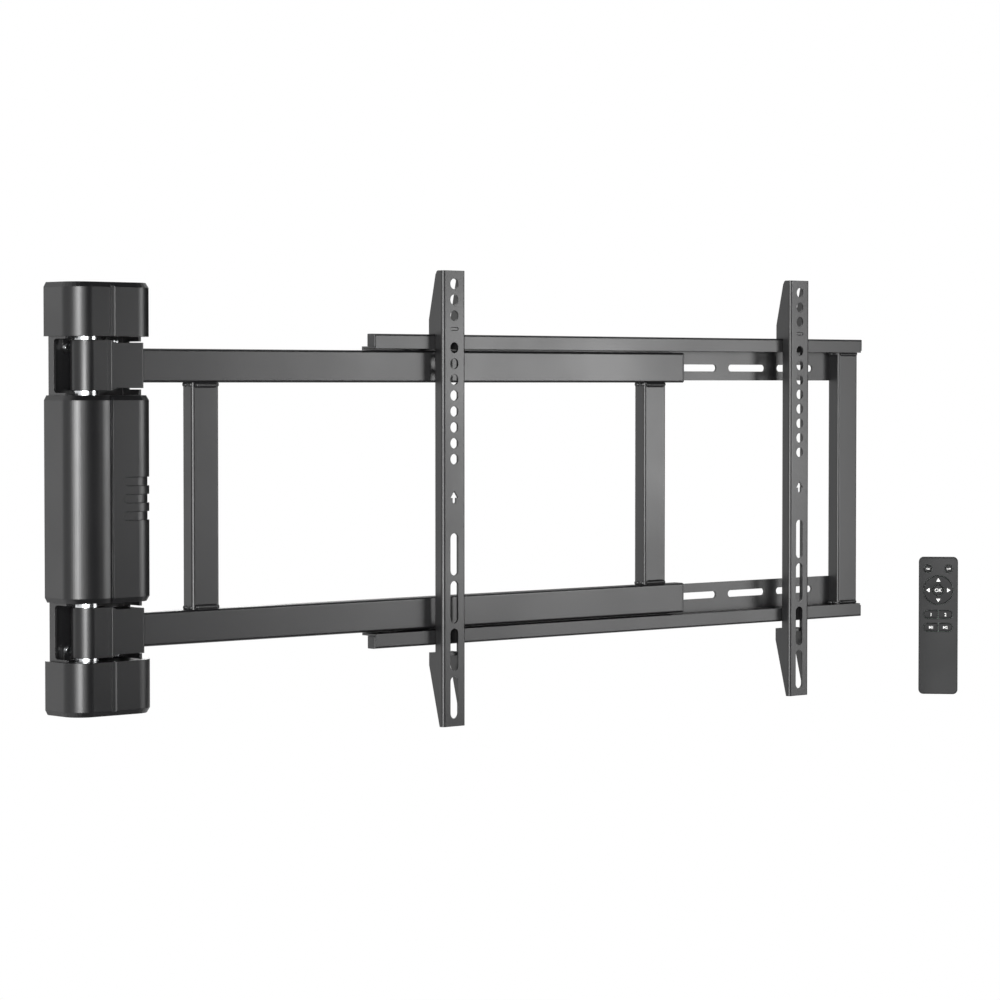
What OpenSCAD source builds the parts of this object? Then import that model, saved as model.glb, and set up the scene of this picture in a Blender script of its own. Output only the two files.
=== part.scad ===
// Motorized TV wall mount: a wall column with a driven swing arm, a rail frame, two hooked TV brackets
// and a remote. X runs along the arms, Y into the wall, Z up. The origin is the middle of the wall bolt
// pattern, on the wall face.

/* [Column covers] */
// Width of the covers across the wall
column_w = 90; // [88:1:100]
// Depth of the covers from the wall to their front
column_d = 46; // [45:0.5:54]
// Height of the top cap, and of the bottom cap
cap_h = 47; // [40:1:60]
// Height of the middle cover
middle_h = 180; // [176:1:220]
// Wall thickness of the plastic covers
cover_wall = 2.5; // [2:0.1:3]
// Radius of the caps' left front corner
left_corner_r = 19; // [14:0.5:21]
// Radius of the covers' right front corner
right_corner_r = 22; // [16:0.5:24]
// Depth of the middle cover's long left front curve
sweep_d = 19.5; // [16:0.5:30]
// Height of the bevel round a cover's outer end
bevel_h = 4.3; // [2:0.1:5]
// How far that bevel goes in
bevel_in = 2.5; // [1:0.1:2.8]
// Width of the upright groove in the caps
groove_w = 6.2; // [2:0.1:7]
// Depth of that groove
groove_depth = 0.8; // [0.4:0.1:1.2]
// Number of grip recesses in the middle cover
recess_count = 3; // [1:1:5]
// Height of one grip recess
recess_h = 7.5; // [4:0.5:9]
// Spacing of the grip recesses
recess_pitch = 15; // [12:0.5:20]
// Depth of a grip recess
recess_depth = 1.6; // [0.8:0.1:1.8]

/* [Wall channel] */
// Width of the wall channel over its flanges
channel_w = 81; // [78:0.5:82]
// Sheet thickness of the wall channel
channel_t = 2.5; // [2:0.1:3]
// Depth of the channel's flanges from the wall
flange_d = 26; // [22:0.5:30]
// Depth of the strip left where a flange is cut away for a knuckle
strip_d = 9; // [7:0.5:9.5]
// Distance of the wall holes along X
wall_hole_x = 54; // [40:1:60]
// Distance of the wall holes along Z
wall_hole_z = 334; // [320:1:344]
// Diameter of the wall holes
wall_hole_d = 8.5; // [6:0.5:10]

/* [Hinge] */
// Distance of the hinge axis from the column's left side
hinge_inset = 26.8; // [26:0.1:28]
// Distance of the hinge axis from the wall
hinge_y = 24; // [23.5:0.1:24.5]
// Diameter of the pivot shaft
shaft_d = 14; // [10:0.5:15]
// Thickness of the hinge plates
plate_t = 4; // [3:0.5:5]
// Gap between the middle cover and a knuckle
inner_gap = 4; // [3.5:0.5:7]
// Gap between a knuckle and the cap beyond it
outer_gap = 3; // [2.5:0.5:6]
// Height of a knuckle at its hub
knuckle_h = 44; // [38:1:50]
// Radius of a knuckle cover round its hub
knuckle_r = 13; // [12:0.25:13]
// Reach of a knuckle cover from the hinge axis
knuckle_reach = 54; // [46:1:60]

/* [Drive] */
// Gear module
gear_module = 1.5; // [1.4:0.05:1.55]
// Teeth of the gear on the pivot shaft
gear_teeth = 20; // [18:1:21]
// Teeth of the pinion on the motor shaft
pinion_teeth = 16; // [14:1:18]
// Face width of the gears
gear_face = 10; // [6:0.5:12]
// Radius of the motor
motor_r = 15; // [12:0.5:16]
// Length of the motor can
motor_l = 50; // [40:1:52]
// Length of the gearbox
gearbox_l = 26; // [20:1:30]

/* [Swing arm] */
// Height of the arm and post tubes
tube_h = 30; // [26:1:34]
// Depth of the arm and post tubes
tube_d = 15; // [12:0.5:17]
// Wall thickness of the tubes
tube_wall = 2; // [1.5:0.1:2.5]
// Outer corner radius of the tubes
tube_r = 2.4; // [2:0.1:3]
// Outer end of the arms, end plug included
arm_end_x = 713.5; // [705:0.5:760]
// Middle of the inner post
inner_post_x = 107.5; // [80:0.5:200]
// Middle of the outer post
outer_post_x = 672.8; // [500:0.5:690]

/* [Rail frame] */
// Left end of the rails
rail_left_x = 301.5; // [280:0.5:310]
// Length of the rails, end caps included
rail_l = 677; // [670:1:720]
// Sheet thickness of the rails
rail_t = 2; // [1.5:0.1:2.5]
// Height of a rail's lip above its flange
lip_h = 11.7; // [9:0.1:15]
// Depth of a rail's lip
lip_d = 11; // [9:0.5:11.5]
// Distance of the lip's front in front of the arms
lip_proud = 3.5; // [2:0.1:5]
// Height of a rail's slotted web
web_h = 31.4; // [28:0.2:36]
// Number of web slots
web_slot_count = 8; // [6:1:8]
// Length of a web slot
web_slot_l = 54.7; // [30:0.1:58]
// Width of a web slot
web_slot_w = 7; // [6.5:0.1:8]
// Spacing of the web slots
web_slot_pitch = 72.4; // [70:0.1:74]
// Diameter of the clamp bolts
clamp_bolt_d = 6; // [5:0.5:6]

/* [TV brackets] */
// How far a bracket reaches below the lower rail
bracket_tail = 77.2; // [70:0.2:100]
// Width of a bracket
bracket_w = 28.8; // [26:0.2:34]
// Sheet thickness of a bracket
bracket_t = 2; // [1.5:0.1:2.5]
// How far a bracket reaches above the upper rail
bracket_rise = 60; // [58:0.5:64]
// Depth of a bracket between its ears
bracket_d = 11; // [10.5:0.1:11.2]
// Depth of a bracket at its ears
ear_d = 20; // [17:0.1:21]
// Middle of the left bracket
left_bracket_x = 390.5; // [330:0.5:500]
// Distance between the brackets
bracket_spacing = 478.8; // [400:0.2:520]
// Number of places in the row of round holes
hole_places = 12; // [10:1:12]
// Spacing of the round holes
hole_pitch = 15; // [13:0.5:15]
// Diameter of the round holes
tv_hole_d = 10; // [6:0.5:11]
// Number of long slots
tv_slot_count = 4; // [3:1:4]
// Length of a long slot
tv_slot_l = 40; // [30:0.5:41]
// Spacing of the long slots
tv_slot_pitch = 45.1; // [44:0.1:46]

/* [Remote] */
// Width of the remote
remote_w = 42.3; // [40:0.1:50]
// Height of the remote
remote_h = 149; // [140:0.5:170]
// Thickness of the remote
remote_d = 15; // [14.5:0.1:18]
// Wall thickness of the remote's shells
remote_wall = 1.8; // [1.4:0.1:2]
// Radius of the arrow ring
ring_r = 15.8; // [14:0.1:16]
// How far a button stands proud
button_proud = 0.8; // [0.7:0.1:1.2]
// Distance of the remote's middle from the rails' right end
remote_gap = 135.5; // [100:0.5:200]
// Turn of the remote to its left, in degrees
remote_turn = 49.7; // [0:0.1:60]

/* [Hidden] */
$fn = 48;
overrun = 1;
skin = 0.02;
fit_gap = 0.3;
press_gap = 0.03;
running_gap = 0.05;

// Heights in the column, worked out from the middle cover outwards
knuckle_low = middle_h / 2 + inner_gap;
knuckle_top = knuckle_low + knuckle_h;
arm_z = knuckle_low + knuckle_h / 2;
cap_low = knuckle_top + outer_gap;
column_top = cap_low + cap_h;
outer_plate_z = cap_low + cover_wall;
inner_plate_z = middle_h / 2 - cover_wall;
hinge_x = hinge_inset - column_w / 2;
shaft_r = shaft_d / 2;

// Covers: wall gap behind them, the groove's place, the recesses' left end
cover_back = 0.5;
groove_x = -4.2;
groove_slope_share = 0.25;
seam_x = -4.2;
seam_run = 12.3;
seam_fall = 2.2;
seam_steps = 8;
recess_x = 10.6;
sweep_share = 2.2;
sweep_steps = 20;

// Channel: clearance of its ends in the caps, chamfer of the cut-aways, distance of those from the covers
channel_end_gap = 1;
window_r = 4;
arm_window_gap = 1.2;
arm_window_r = 1;
window_lead = 2;
channel_bend_r = 1.5;

// Hinge plates: their lugs and screws
lug_x = 23;
lug_r = 5.5;
lug_t = 3;
lug_drop = 11.5;
lug_hole_r = 2.5;
screw_r = 2.4;
screw_head_r = 4.2;
screw_head_h = 2.5;
plate_inset = cover_wall + fit_gap;
bush_wall = 2;
bush_rim = 4;
bush_r = shaft_r + bush_wall;
bush_flange_r = shaft_r + bush_rim;
bush_flange_t = 1.5;
flange_room = 1.5;
end_wall_hole_r = bush_flange_r + flange_room;
collar_wall = 5;
collar_r = shaft_r + collar_wall;
collar_h = 8;
hub_wall = 3;
hub_r = shaft_r + hub_wall;
shaft_end = 2;

// Knuckle covers: the socket is a little lower than the hub part
socket_drop = 2.2;
socket_start = 19;
knuckle_corner_r = 2;
knuckle_wall = 2.5;
knuckle_seam_w = 4;
knuckle_seam_depth = 0.5;
knuckle_end_t = 3;
knuckle_screw_x = 31;
knuckle_screw_r = 2;
knuckle_head_r = 4;
knuckle_head_h = 3.5;

// Drive
gear_backlash = 0.12;
gear_z = 50;
gear_hub_r = shaft_r + bush_rim;
gear_hub_h = 4;
pinion_hub_r = 7;
motor_x = hinge_x + gear_module * (gear_teeth + pinion_teeth) / 2;
gearbox_rim = 1;
gearbox_r = motor_r + gearbox_rim;
motor_shaft_r = 3;
motor_shaft_depth = 8;
boss_r = 6;
bracket_sheet = 2.5;
bracket_drop = 20;
gear_clearance = 6;
gearbox_top = gear_z - gear_clearance;
can_cap_r = 6;
can_cap_h = 3;
cam_z = -10;
cam_rim = 2;
cam_r = shaft_r + cam_rim;
cam_lobe_r = 2;
cam_reach = cam_r + cam_lobe_r / 2;
switch_l = 20;
switch_d = 8;
switch_h = 6;
switch_gap = 2;
switch_pitch = switch_h + switch_gap;
plunger_r = 1;

// Tubes, plugs and bolts
plug_t = 2;
plug_l = 10;
plug_gap = 0.15;
bolt_slots = [0, 2, 4];
bolt_head_r = 5.2;
bolt_flange_r = 6.5;
bolt_flange_t = 1.2;
bolt_head_h = 4;
bolt_grip = 6;
slide_gap = 0.05;
rail_bend_r = 2;
flange_gap = 1.7;
end_post_back = slide_gap + rail_t;
end_post_inset = 1;
cap_edge_r = 1.2;

// Brackets
bend_r = 3;
bracket_end_d = 9.8;
bracket_foot_d = 5;
corner_r = 3;
top_taper_h = 46;
notch_gap = 7.5;
foot_ear_h = 12;
first_hole = 12.5;
obround_place = 3;
obround_w = 10.2;
obround_h = 3.2;
obround_drop = 54.8;
arrow_drop = 207.4;
arrow_h = 12;
arrow_w = 9.6;
arrow_head_share = 0.55;
arrow_stem_w = 4.4;
last_slot_rise = 27.4;
hook_t = 2.4;
hook_drop = 53.6;
hook_w = 12;
hook_gap = 0.4;
hook_reach = 7;
tab_w = 9.6;
lock_t = 3;
lock_screw_r = 2.95;
lock_hole_r = 3;
lock_head_r = 5.5;
lock_head_h = 6;
lock_tail = 9;

// Remote: places of the buttons, measured from the middle of its face
remote_x = rail_left_x + rail_l + remote_gap;
remote_y = -26.3;
remote_z = -163.2;
remote_corner_r = 5.3;
remote_bevel = 1;
round_button_r = 4.3;
round_button_x = 11.1;
round_button_drop = 12.5;
ring_drop = 35.7;
bar_drop = 62.2;
door_rise = 6.5;
round_button_z = remote_h / 2 - round_button_drop;
ring_z = remote_h / 2 - ring_drop;
bar_z = remote_h / 2 - bar_drop;
ok_side = 11;
ok_corner_r = 3.6;
bar_w = 31;
bar_h = 9;
bar_split = 0.5;
bar_pitch = 14;
button_gap = 0.3;
skirt = 0.7;
skirt_t = 0.8;
button_travel = 0.6;
board_t = 1.2;
battery_r = 5.2;
battery_l = 44.5;
battery_x = 5.7;
battery_nub_r = 1.8;
battery_nub_l = 0.8;
door_w = 30;
door_h = 56;
door_lip = 1.2;
battery_z = door_rise + (door_h - remote_h) / 2;

sheet_grey = [0.30, 0.30, 0.31];
cover_grey = [0.22, 0.22, 0.23];
steel = [0.75, 0.76, 0.78];

// Outline of a cap seen from above: straight back, round front corners
module cap_plan(inset = 0) {
    half = column_w / 2 - inset;
    front = column_d - inset;
    left_r = left_corner_r - inset;
    right_r = right_corner_r - inset;
    translate([-half, left_r - front]) square([half, front - left_r - cover_back]);
    translate([0, right_r - front]) square([half, front - right_r - cover_back]);
    translate([left_r - half, -front]) square([2 * half - left_r - right_r, front - cover_back]);
    translate([left_r - half, left_r - front]) circle(left_r);
    translate([half - right_r, right_r - front]) circle(right_r);
}

// Left part of the middle cover's outline: one long curve, then a fall into the seam
module middle_left(inset, step) {
    half = column_w / 2 - inset;
    front = column_d - inset;
    top_x = seam_x - seam_run;
    depth = sweep_d - inset;
    polygon([
        for (i = [0 : sweep_steps]) let (a = 90 * i / sweep_steps)
            [top_x - (half + top_x) * pow(cos(a), 2 / sweep_share),
                depth - front - depth * pow(sin(a), 2 / sweep_share)],
        for (i = [1 : seam_steps]) let (share = i / seam_steps)
            [top_x + seam_run * share, seam_fall * share * share - front],
        [step, seam_fall - front], [step, -cover_back], [-half, -cover_back]]);
}

// Right part, flat in front
module middle_right(inset, step) {
    half = column_w / 2 - inset;
    front = column_d - inset;
    right_r = right_corner_r - inset;
    translate([step - skin, right_r - front]) square([half - step + skin, front - right_r - cover_back]);
    translate([step - skin, -front]) square([half - right_r - step + skin, front - cover_back]);
    translate([half - right_r, right_r - front]) circle(right_r);
}

// Outline of the middle cover: the left front falls into the seam, at which the right part stands proud
module middle_plan(inset = 0) {
    middle_left(inset, seam_x + skin + inset);
    middle_right(inset, seam_x + inset);
}

module cover_plan(inset, swept) {
    if (swept) middle_plan(inset); else cap_plan(inset);
}

// The outline in the parts that a bevelled end is made of
module bevel_plan(part, inset) {
    if (part == 0) cap_plan(inset);
    if (part == 1) middle_left(inset, seam_x + skin);
    if (part == 2) middle_right(inset, seam_x);
}

// One bevelled end of a cover, from the full outline at z = 0 up to the drawn-in outline
module bevel_end(swept) {
    for (part = swept ? [1, 2] : [0]) hull() {
        linear_extrude(skin) bevel_plan(part, 0, $fn = 32);
        translate([0, 0, bevel_h - skin]) linear_extrude(skin) bevel_plan(part, bevel_in, $fn = 32);
    }
}

// Plan of the groove in a cap's front: a flat floor between two slopes
module groove_plan() {
    half = groove_w / 2;
    slope = groove_w * groove_slope_share;
    polygon([[-half, -overrun], [-half, 0], [slope - half, groove_depth],
        [half - slope, groove_depth], [half, 0], [half, -overrun]]);
}

// The space that a cover leaves for the channel, the lugs and their screws
module channel_room(height) {
    translate([-channel_w / 2 - fit_gap, -flange_d - fit_gap, 0])
        cube([channel_t + 2 * fit_gap, flange_d + overrun, height]);
    translate([channel_w / 2 - channel_t - fit_gap, -flange_d - fit_gap, 0])
        cube([channel_t + 2 * fit_gap, flange_d + overrun, height]);
    translate([-channel_w / 2, -channel_t - lug_t - fit_gap, 0])
        cube([channel_w, channel_t + lug_t + fit_gap + overrun, height]);
}

// Inside of a cover, open at the back
module cover_cavity(height, swept) {
    half = column_w / 2 - cover_wall;
    linear_extrude(height) cover_plan(cover_wall, swept);
    translate([-half, -column_d + max(left_corner_r, right_corner_r, sweep_d), 0])
        cube([2 * half, column_d, height]);
}

// The top cap, drawn with its open end at z = 0
module cap() {
    difference() {
        union() {
            linear_extrude(cap_h - bevel_h) cap_plan();
            translate([0, 0, cap_h - bevel_h]) bevel_end(false);
        }
        translate([0, 0, cover_wall]) cover_cavity(cap_h - 2 * cover_wall, false);
        translate([0, 0, -overrun]) channel_room(cap_h - cover_wall + overrun);
        translate([hinge_x, -hinge_y, -overrun]) cylinder(r = end_wall_hole_r, h = cover_wall + 2 * overrun);
        translate([groove_x, -column_d, -overrun]) linear_extrude(cap_h + 2 * overrun) groove_plan();
    }
}

module recess(z) {
    translate([0, 0, z]) intersection() {
        translate([0, 0, -recess_h / 2]) linear_extrude(recess_h) difference() {
            right_front();
            middle_plan(recess_depth);
        }
        union() {
            translate([recess_x, -column_d - overrun, 0])
                rotate([-90, 0, 0]) cylinder(d = recess_h, h = column_d);
            translate([recess_x, -column_d - overrun, -recess_h / 2])
                cube([column_w, column_d / 2, recess_h]);
        }
    }
}

// The middle cover's right front quarter and the room before it
module right_front() {
    translate([0, -column_d - overrun]) square([column_w / 2 + overrun, column_d / 2 + overrun]);
}

module top_cap() {
    color(cover_grey) translate([0, 0, cap_low]) cap();
}

module bottom_cap() {
    color(cover_grey) difference() {
        translate([0, 0, -cap_low]) mirror([0, 0, 1]) cap();
        translate([inlet_x, -inlet_y, -column_top - overrun])
            cylinder(r = inlet_nose_r + fit_gap, h = cover_wall + 2 * overrun);
    }
}

module middle_cover() {
    body_h = middle_h - 2 * bevel_h;
    color(cover_grey) difference() {
        union() {
            translate([0, 0, -body_h / 2]) linear_extrude(body_h) middle_plan();
            translate([0, 0, body_h / 2]) bevel_end(true);
            translate([0, 0, -body_h / 2]) mirror([0, 0, 1]) bevel_end(true);
        }
        translate([0, 0, cover_wall - middle_h / 2]) cover_cavity(middle_h - 2 * cover_wall, true);
        translate([0, 0, -middle_h / 2 - overrun]) channel_room(middle_h + 2 * overrun);
        translate([hinge_x, -hinge_y, -middle_h / 2 - overrun])
            cylinder(r = end_wall_hole_r, h = middle_h + 2 * overrun);
        for (i = [0 : recess_count - 1]) recess((i - (recess_count - 1) / 2) * recess_pitch);
    }
}

// Side view of what is cut from a flange round a knuckle: open to the front, with round inner corners
module window_cut(low, high, corner) {
    far = flange_d + overrun;
    back = -strip_d - corner;
    polygon([[-far, low], [-far, high],
        for (i = [0 : 6]) let (a = 90 * i / 6) [back + corner * sin(a), high - corner + corner * cos(a)],
        for (i = [0 : 6]) let (a = 90 * i / 6) [back + corner * cos(a), low + corner - corner * sin(a)]]);
}

module wall_channel() {
    half = channel_w / 2;
    channel_top = column_top - cover_wall - channel_end_gap;
    window_low = middle_h / 2 + window_lead;
    window_high = cap_low - window_lead;
    arm_window_low = knuckle_low + socket_drop - arm_window_gap;
    arm_window_high = knuckle_top - socket_drop + arm_window_gap;
    color(sheet_grey) difference() {
        translate([0, 0, -channel_top]) linear_extrude(2 * channel_top) {
            translate([-half + channel_bend_r, -channel_t])
                square([channel_w - 2 * channel_bend_r, channel_t]);
            for (side = [-1, 1]) {
                translate([side * (half - channel_t / 2), -(flange_d + channel_bend_r) / 2])
                    square([channel_t, flange_d - channel_bend_r], center = true);
                translate([side * (half - channel_bend_r), -channel_bend_r]) circle(channel_bend_r);
            }
        }
        for (side = [0, 1]) mirror([0, 0, side]) rotate([90, 0, 90]) {
            translate([0, 0, -half - overrun])
                linear_extrude(half) window_cut(window_low, window_high, window_r);
            linear_extrude(half + overrun)
                window_cut(arm_window_low, arm_window_high, arm_window_r);
        }
        for (x = [-1, 1], z = [-1, 1])
            translate([x * wall_hole_x / 2, overrun, z * wall_hole_z / 2])
                rotate([90, 0, 0]) cylinder(d = wall_hole_d, h = channel_t + 2 * overrun);
        for (x = [-1, 1], z = lug_heights)
            translate([x * lug_x, overrun, z])
                rotate([90, 0, 0]) cylinder(r = lug_hole_r, h = channel_t + 2 * overrun);
    }
}

// Heights of the eight lug screws
lug_heights = [outer_plate_z - lug_drop, inner_plate_z - plate_t - lug_drop,
    plate_t + lug_drop - inner_plate_z, lug_drop - outer_plate_z];

// A hinge plate that lies on z = 0, with two lugs that hang from its back edge
module hinge_plate(swept) {
    half = channel_w / 2 - channel_t;
    color(sheet_grey) difference() {
        union() {
            intersection() {
                linear_extrude(plate_t) cover_plan(plate_inset, swept);
                translate([-half, -column_d, 0]) cube([2 * half, column_d - channel_t, plate_t]);
            }
            for (side = [-1, 1]) translate([side * lug_x, -channel_t, 0]) {
                translate([-lug_r, -lug_t, -lug_drop]) cube([2 * lug_r, lug_t, lug_drop + plate_t]);
                translate([0, 0, -lug_drop]) rotate([90, 0, 0]) cylinder(r = lug_r, h = lug_t);
            }
        }
        translate([hinge_x, -hinge_y, -overrun]) cylinder(r = bush_r + press_gap, h = plate_t + 2 * overrun);
        for (side = [-1, 1]) translate([side * lug_x, 0, -lug_drop])
            rotate([90, 0, 0]) cylinder(r = lug_hole_r, h = channel_t + lug_t + overrun);
    }
}

module top_hinge_plate() translate([0, 0, outer_plate_z]) hinge_plate(false);
module upper_mid_hinge_plate() translate([0, 0, inner_plate_z - plate_t]) hinge_plate(true);
module lower_mid_hinge_plate() mirror([0, 0, 1]) upper_mid_hinge_plate();
module bottom_hinge_plate() mirror([0, 0, 1]) top_hinge_plate();

// A flanged bush, its flange below z = 0
module bush() {
    difference() {
        union() {
            cylinder(r = bush_r, h = plate_t);
            translate([0, 0, -bush_flange_t]) cylinder(r = bush_flange_r, h = bush_flange_t);
        }
        translate([0, 0, -bush_flange_t - overrun])
            cylinder(r = shaft_r + running_gap, h = plate_t + bush_flange_t + 2 * overrun);
    }
}

module hinge_bushes() {
    color("peru") for (side = [0, 1]) mirror([0, 0, side]) translate([hinge_x, -hinge_y, 0]) {
        translate([0, 0, outer_plate_z]) bush();
        translate([0, 0, inner_plate_z]) mirror([0, 0, 1]) bush();
    }
}

// Polished rings that fill each hinge gap, from the bush's flange to the hub tube
module thrust_washers() {
    color(steel) for (side = [0, 1]) mirror([0, 0, side]) translate([hinge_x, -hinge_y, 0]) {
        translate([0, 0, knuckle_top + running_gap])
            ring(outer_plate_z - bush_flange_t - knuckle_top - running_gap);
        translate([0, 0, inner_plate_z + bush_flange_t])
            ring(knuckle_low - inner_plate_z - bush_flange_t - running_gap);
    }
}

module ring(height) {
    difference() {
        cylinder(r = bush_flange_r, h = height);
        translate([0, 0, -overrun]) cylinder(r = shaft_r + fit_gap, h = height + 2 * overrun);
    }
}

module hinge_plate_screws() {
    color(steel) for (x = [-1, 1], z = lug_heights)
        translate([x * lug_x, -channel_t - lug_t, z]) rotate([90, 0, 0]) {
            translate([0, 0, -channel_t - lug_t + skin]) cylinder(r = screw_r, h = channel_t + lug_t);
            difference() {
                cylinder(r = screw_head_r, h = screw_head_h);
                translate([0, 0, screw_head_h / 2]) cylinder(r = screw_r, h = screw_head_h, $fn = 6);
            }
        }
}

module motor_can() {
    color("dimgray") translate([motor_x, -hinge_y, gearbox_top - gearbox_l - motor_l]) {
        cylinder(r = motor_r, h = motor_l);
        translate([0, 0, -can_cap_h]) cylinder(r = can_cap_r, h = can_cap_h);
    }
}

module motor_gearbox() {
    color(steel) translate([motor_x, -hinge_y, gearbox_top]) difference() {
        union() {
            translate([0, 0, -gearbox_l]) cylinder(r = gearbox_r, h = gearbox_l);
            cylinder(r = boss_r, h = bracket_sheet);
        }
        translate([0, 0, -motor_shaft_depth])
            cylinder(r = motor_shaft_r + running_gap, h = motor_shaft_depth + bracket_sheet + overrun);
    }
}

// Sheet angle that carries the gearbox by its face
module motor_bracket() {
    left = gearbox_r - 2 * bracket_sheet;
    color(sheet_grey) translate([motor_x, 0, gearbox_top]) difference() {
        union() {
            translate([-left, -hinge_y - gearbox_r, 0])
                cube([left + gearbox_r, hinge_y + gearbox_r - channel_t, bracket_sheet]);
            translate([-left, -channel_t - bracket_sheet, -bracket_drop])
                cube([left + gearbox_r, bracket_sheet, bracket_drop + bracket_sheet]);
        }
        translate([0, -hinge_y, -overrun]) cylinder(r = boss_r + press_gap, h = bracket_sheet + 2 * overrun);
    }
}

// Circuit board on four spacers, with its soldered parts
board_w = 32;
board_h = 26;
board_x = 2;
board_room = 2;
spacer_h = 5;
spacer_r = 2.2;
chip_w = 9;
relay_w = 12;
relay_h = 9;
capacitor_r = 3.5;
capacitor_h = 9;
module control_board() {
    low = gearbox_top - gearbox_l - motor_l - can_cap_h - board_room - board_h;
    color("darkgreen") translate([board_x, -channel_t, low]) rotate([90, 0, 0]) {
        translate([0, 0, spacer_h]) cube([board_w, board_h, board_t]);
        for (x = [spacer_r, board_w - spacer_r], y = [spacer_r, board_h - spacer_r])
            translate([x, y, 0]) cylinder(r = spacer_r, h = spacer_h);
        translate([0, 0, spacer_h + board_t]) {
            translate([board_w / 8, board_h / 2, 0]) cube([relay_w, relay_h, relay_h]);
            translate([board_w / 2, board_h / 2, 0]) cube([chip_w, chip_w, board_t]);
            translate([board_w / 4, board_h / 4, 0]) cylinder(r = capacitor_r, h = capacitor_h);
            translate([board_w / 2, board_h / 8, 0]) cube([relay_w, chip_w / 2, relay_h / 2]);
        }
    }
}

// Receiver block behind the middle cover's front wall
receiver_w = 8;
receiver_h = 9;
receiver_d = 4;
receiver_x = 8;
receiver_z = 62;
module infrared_receiver() {
    color("black") translate([receiver_x, cover_wall - column_d, -receiver_z]) {
        cube([receiver_w, receiver_d, receiver_h]);
        translate([receiver_w / 2, receiver_d, receiver_h / 2])
            rotate([-90, 0, 0]) cylinder(d = receiver_w / 2, h = receiver_d / 2);
    }
}

module limit_switches() {
    travel = hinge_y - channel_t - switch_d - cam_reach - fit_gap;
    color("black") for (i = [0, 1]) translate([hinge_x, -channel_t, cam_z + i * switch_pitch]) {
        translate([-switch_l / 2, -switch_d, 0]) cube([switch_l, switch_d, switch_h]);
        translate([0, -switch_d, switch_h / 2]) rotate([90, 0, 0]) cylinder(r = plunger_r, h = travel);
    }
}

// Power socket in the bottom cap, facing down
inlet_x = 20;
inlet_y = 16;
inlet_nose_r = 4.2;
inlet_bore_r = 2.8;
inlet_pin_r = 1;
inlet_depth = 9;
inlet_body = 12;
module dc_inlet_socket() {
    nose_z = -column_top;
    color("black") translate([inlet_x, -inlet_y, nose_z]) {
        difference() {
            union() {
                cylinder(r = inlet_nose_r, h = cover_wall + skin);
                translate([-inlet_body / 2, -inlet_body / 2, cover_wall])
                    cube([inlet_body, inlet_body, inlet_depth]);
            }
            translate([0, 0, -overrun]) cylinder(r = inlet_bore_r, h = inlet_depth + overrun);
        }
        cylinder(r = inlet_pin_r, h = inlet_depth + skin);
    }
}

// Pivot shaft, with one collar beyond each outer hinge plate
module pivot_shaft() {
    half = outer_plate_z + plate_t + collar_h + fit_gap + shaft_end;
    color(steel) translate([hinge_x, -hinge_y, -half]) cylinder(r = shaft_r, h = 2 * half);
}

module shaft_collars() {
    color(steel) for (side = [0, 1]) mirror([0, 0, side])
        translate([hinge_x, -hinge_y, outer_plate_z + plate_t + fit_gap]) difference() {
            cylinder(r = collar_r, h = collar_h);
            translate([0, 0, -overrun]) cylinder(r = shaft_r + press_gap, h = collar_h + 2 * overrun);
        }
}

// Angle, in degrees, that an involute from base radius rb has turned through at radius r
function involute_turn(r, rb) = let (t = sqrt(max(0, r * r / (rb * rb) - 1))) t * 180 / PI - atan(t);

// Outline of a spur gear with a tooth centred on +X. The flanks are involutes of a 20 degree pressure angle.
module spur_plan(teeth) {
    pitch_r = gear_module * teeth / 2;
    base_r = pitch_r * cos(20);
    tip_r = pitch_r + gear_module;
    root_share = 1.25;
    root_r = pitch_r - root_share * gear_module;
    slack = gear_backlash / pitch_r * 180 / PI / 2;
    half_base = 90 / teeth + involute_turn(pitch_r, base_r) - slack;
    steps = 5;
    flank = [for (i = [0 : steps]) let (r = base_r + (tip_r - base_r) * i / steps)
        [r, half_base - involute_turn(r, base_r)]];
    polygon([for (k = [0 : teeth - 1]) let (mid = 360 * k / teeth)
        each concat([[root_r * cos(mid - half_base), root_r * sin(mid - half_base)]],
            [for (p = flank) [p[0] * cos(mid - p[1]), p[0] * sin(mid - p[1])]],
            [for (i = [steps : -1 : 0]) let (p = flank[i]) [p[0] * cos(mid + p[1]), p[0] * sin(mid + p[1])]],
            [[root_r * cos(mid + half_base), root_r * sin(mid + half_base)]])]);
}

module driven_gear() {
    color(steel) translate([hinge_x, -hinge_y, gear_z]) difference() {
        union() {
            linear_extrude(gear_face) spur_plan(gear_teeth);
            cylinder(r = gear_hub_r, h = gear_face + gear_hub_h);
        }
        translate([0, 0, -overrun])
            cylinder(r = shaft_r + press_gap, h = gear_face + gear_hub_h + 2 * overrun);
    }
}

// The pinion is turned by half a tooth, so that a gap faces the driven gear
module drive_pinion() {
    gap_turn = 180 - 180 / pinion_teeth;
    color(steel) translate([motor_x, -hinge_y, gear_z]) difference() {
        union() {
            rotate([0, 0, gap_turn]) linear_extrude(gear_face) spur_plan(pinion_teeth);
            cylinder(r = pinion_hub_r, h = gear_face + gear_hub_h);
        }
        translate([0, 0, -overrun])
            cylinder(r = motor_shaft_r + press_gap, h = gear_face + gear_hub_h + 2 * overrun);
    }
}

module motor_shaft() {
    low = gearbox_top - motor_shaft_depth + fit_gap;
    color(steel) translate([motor_x, -hinge_y, low])
        cylinder(r = motor_shaft_r, h = gear_z + gear_face + gear_hub_h - low);
}

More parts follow.
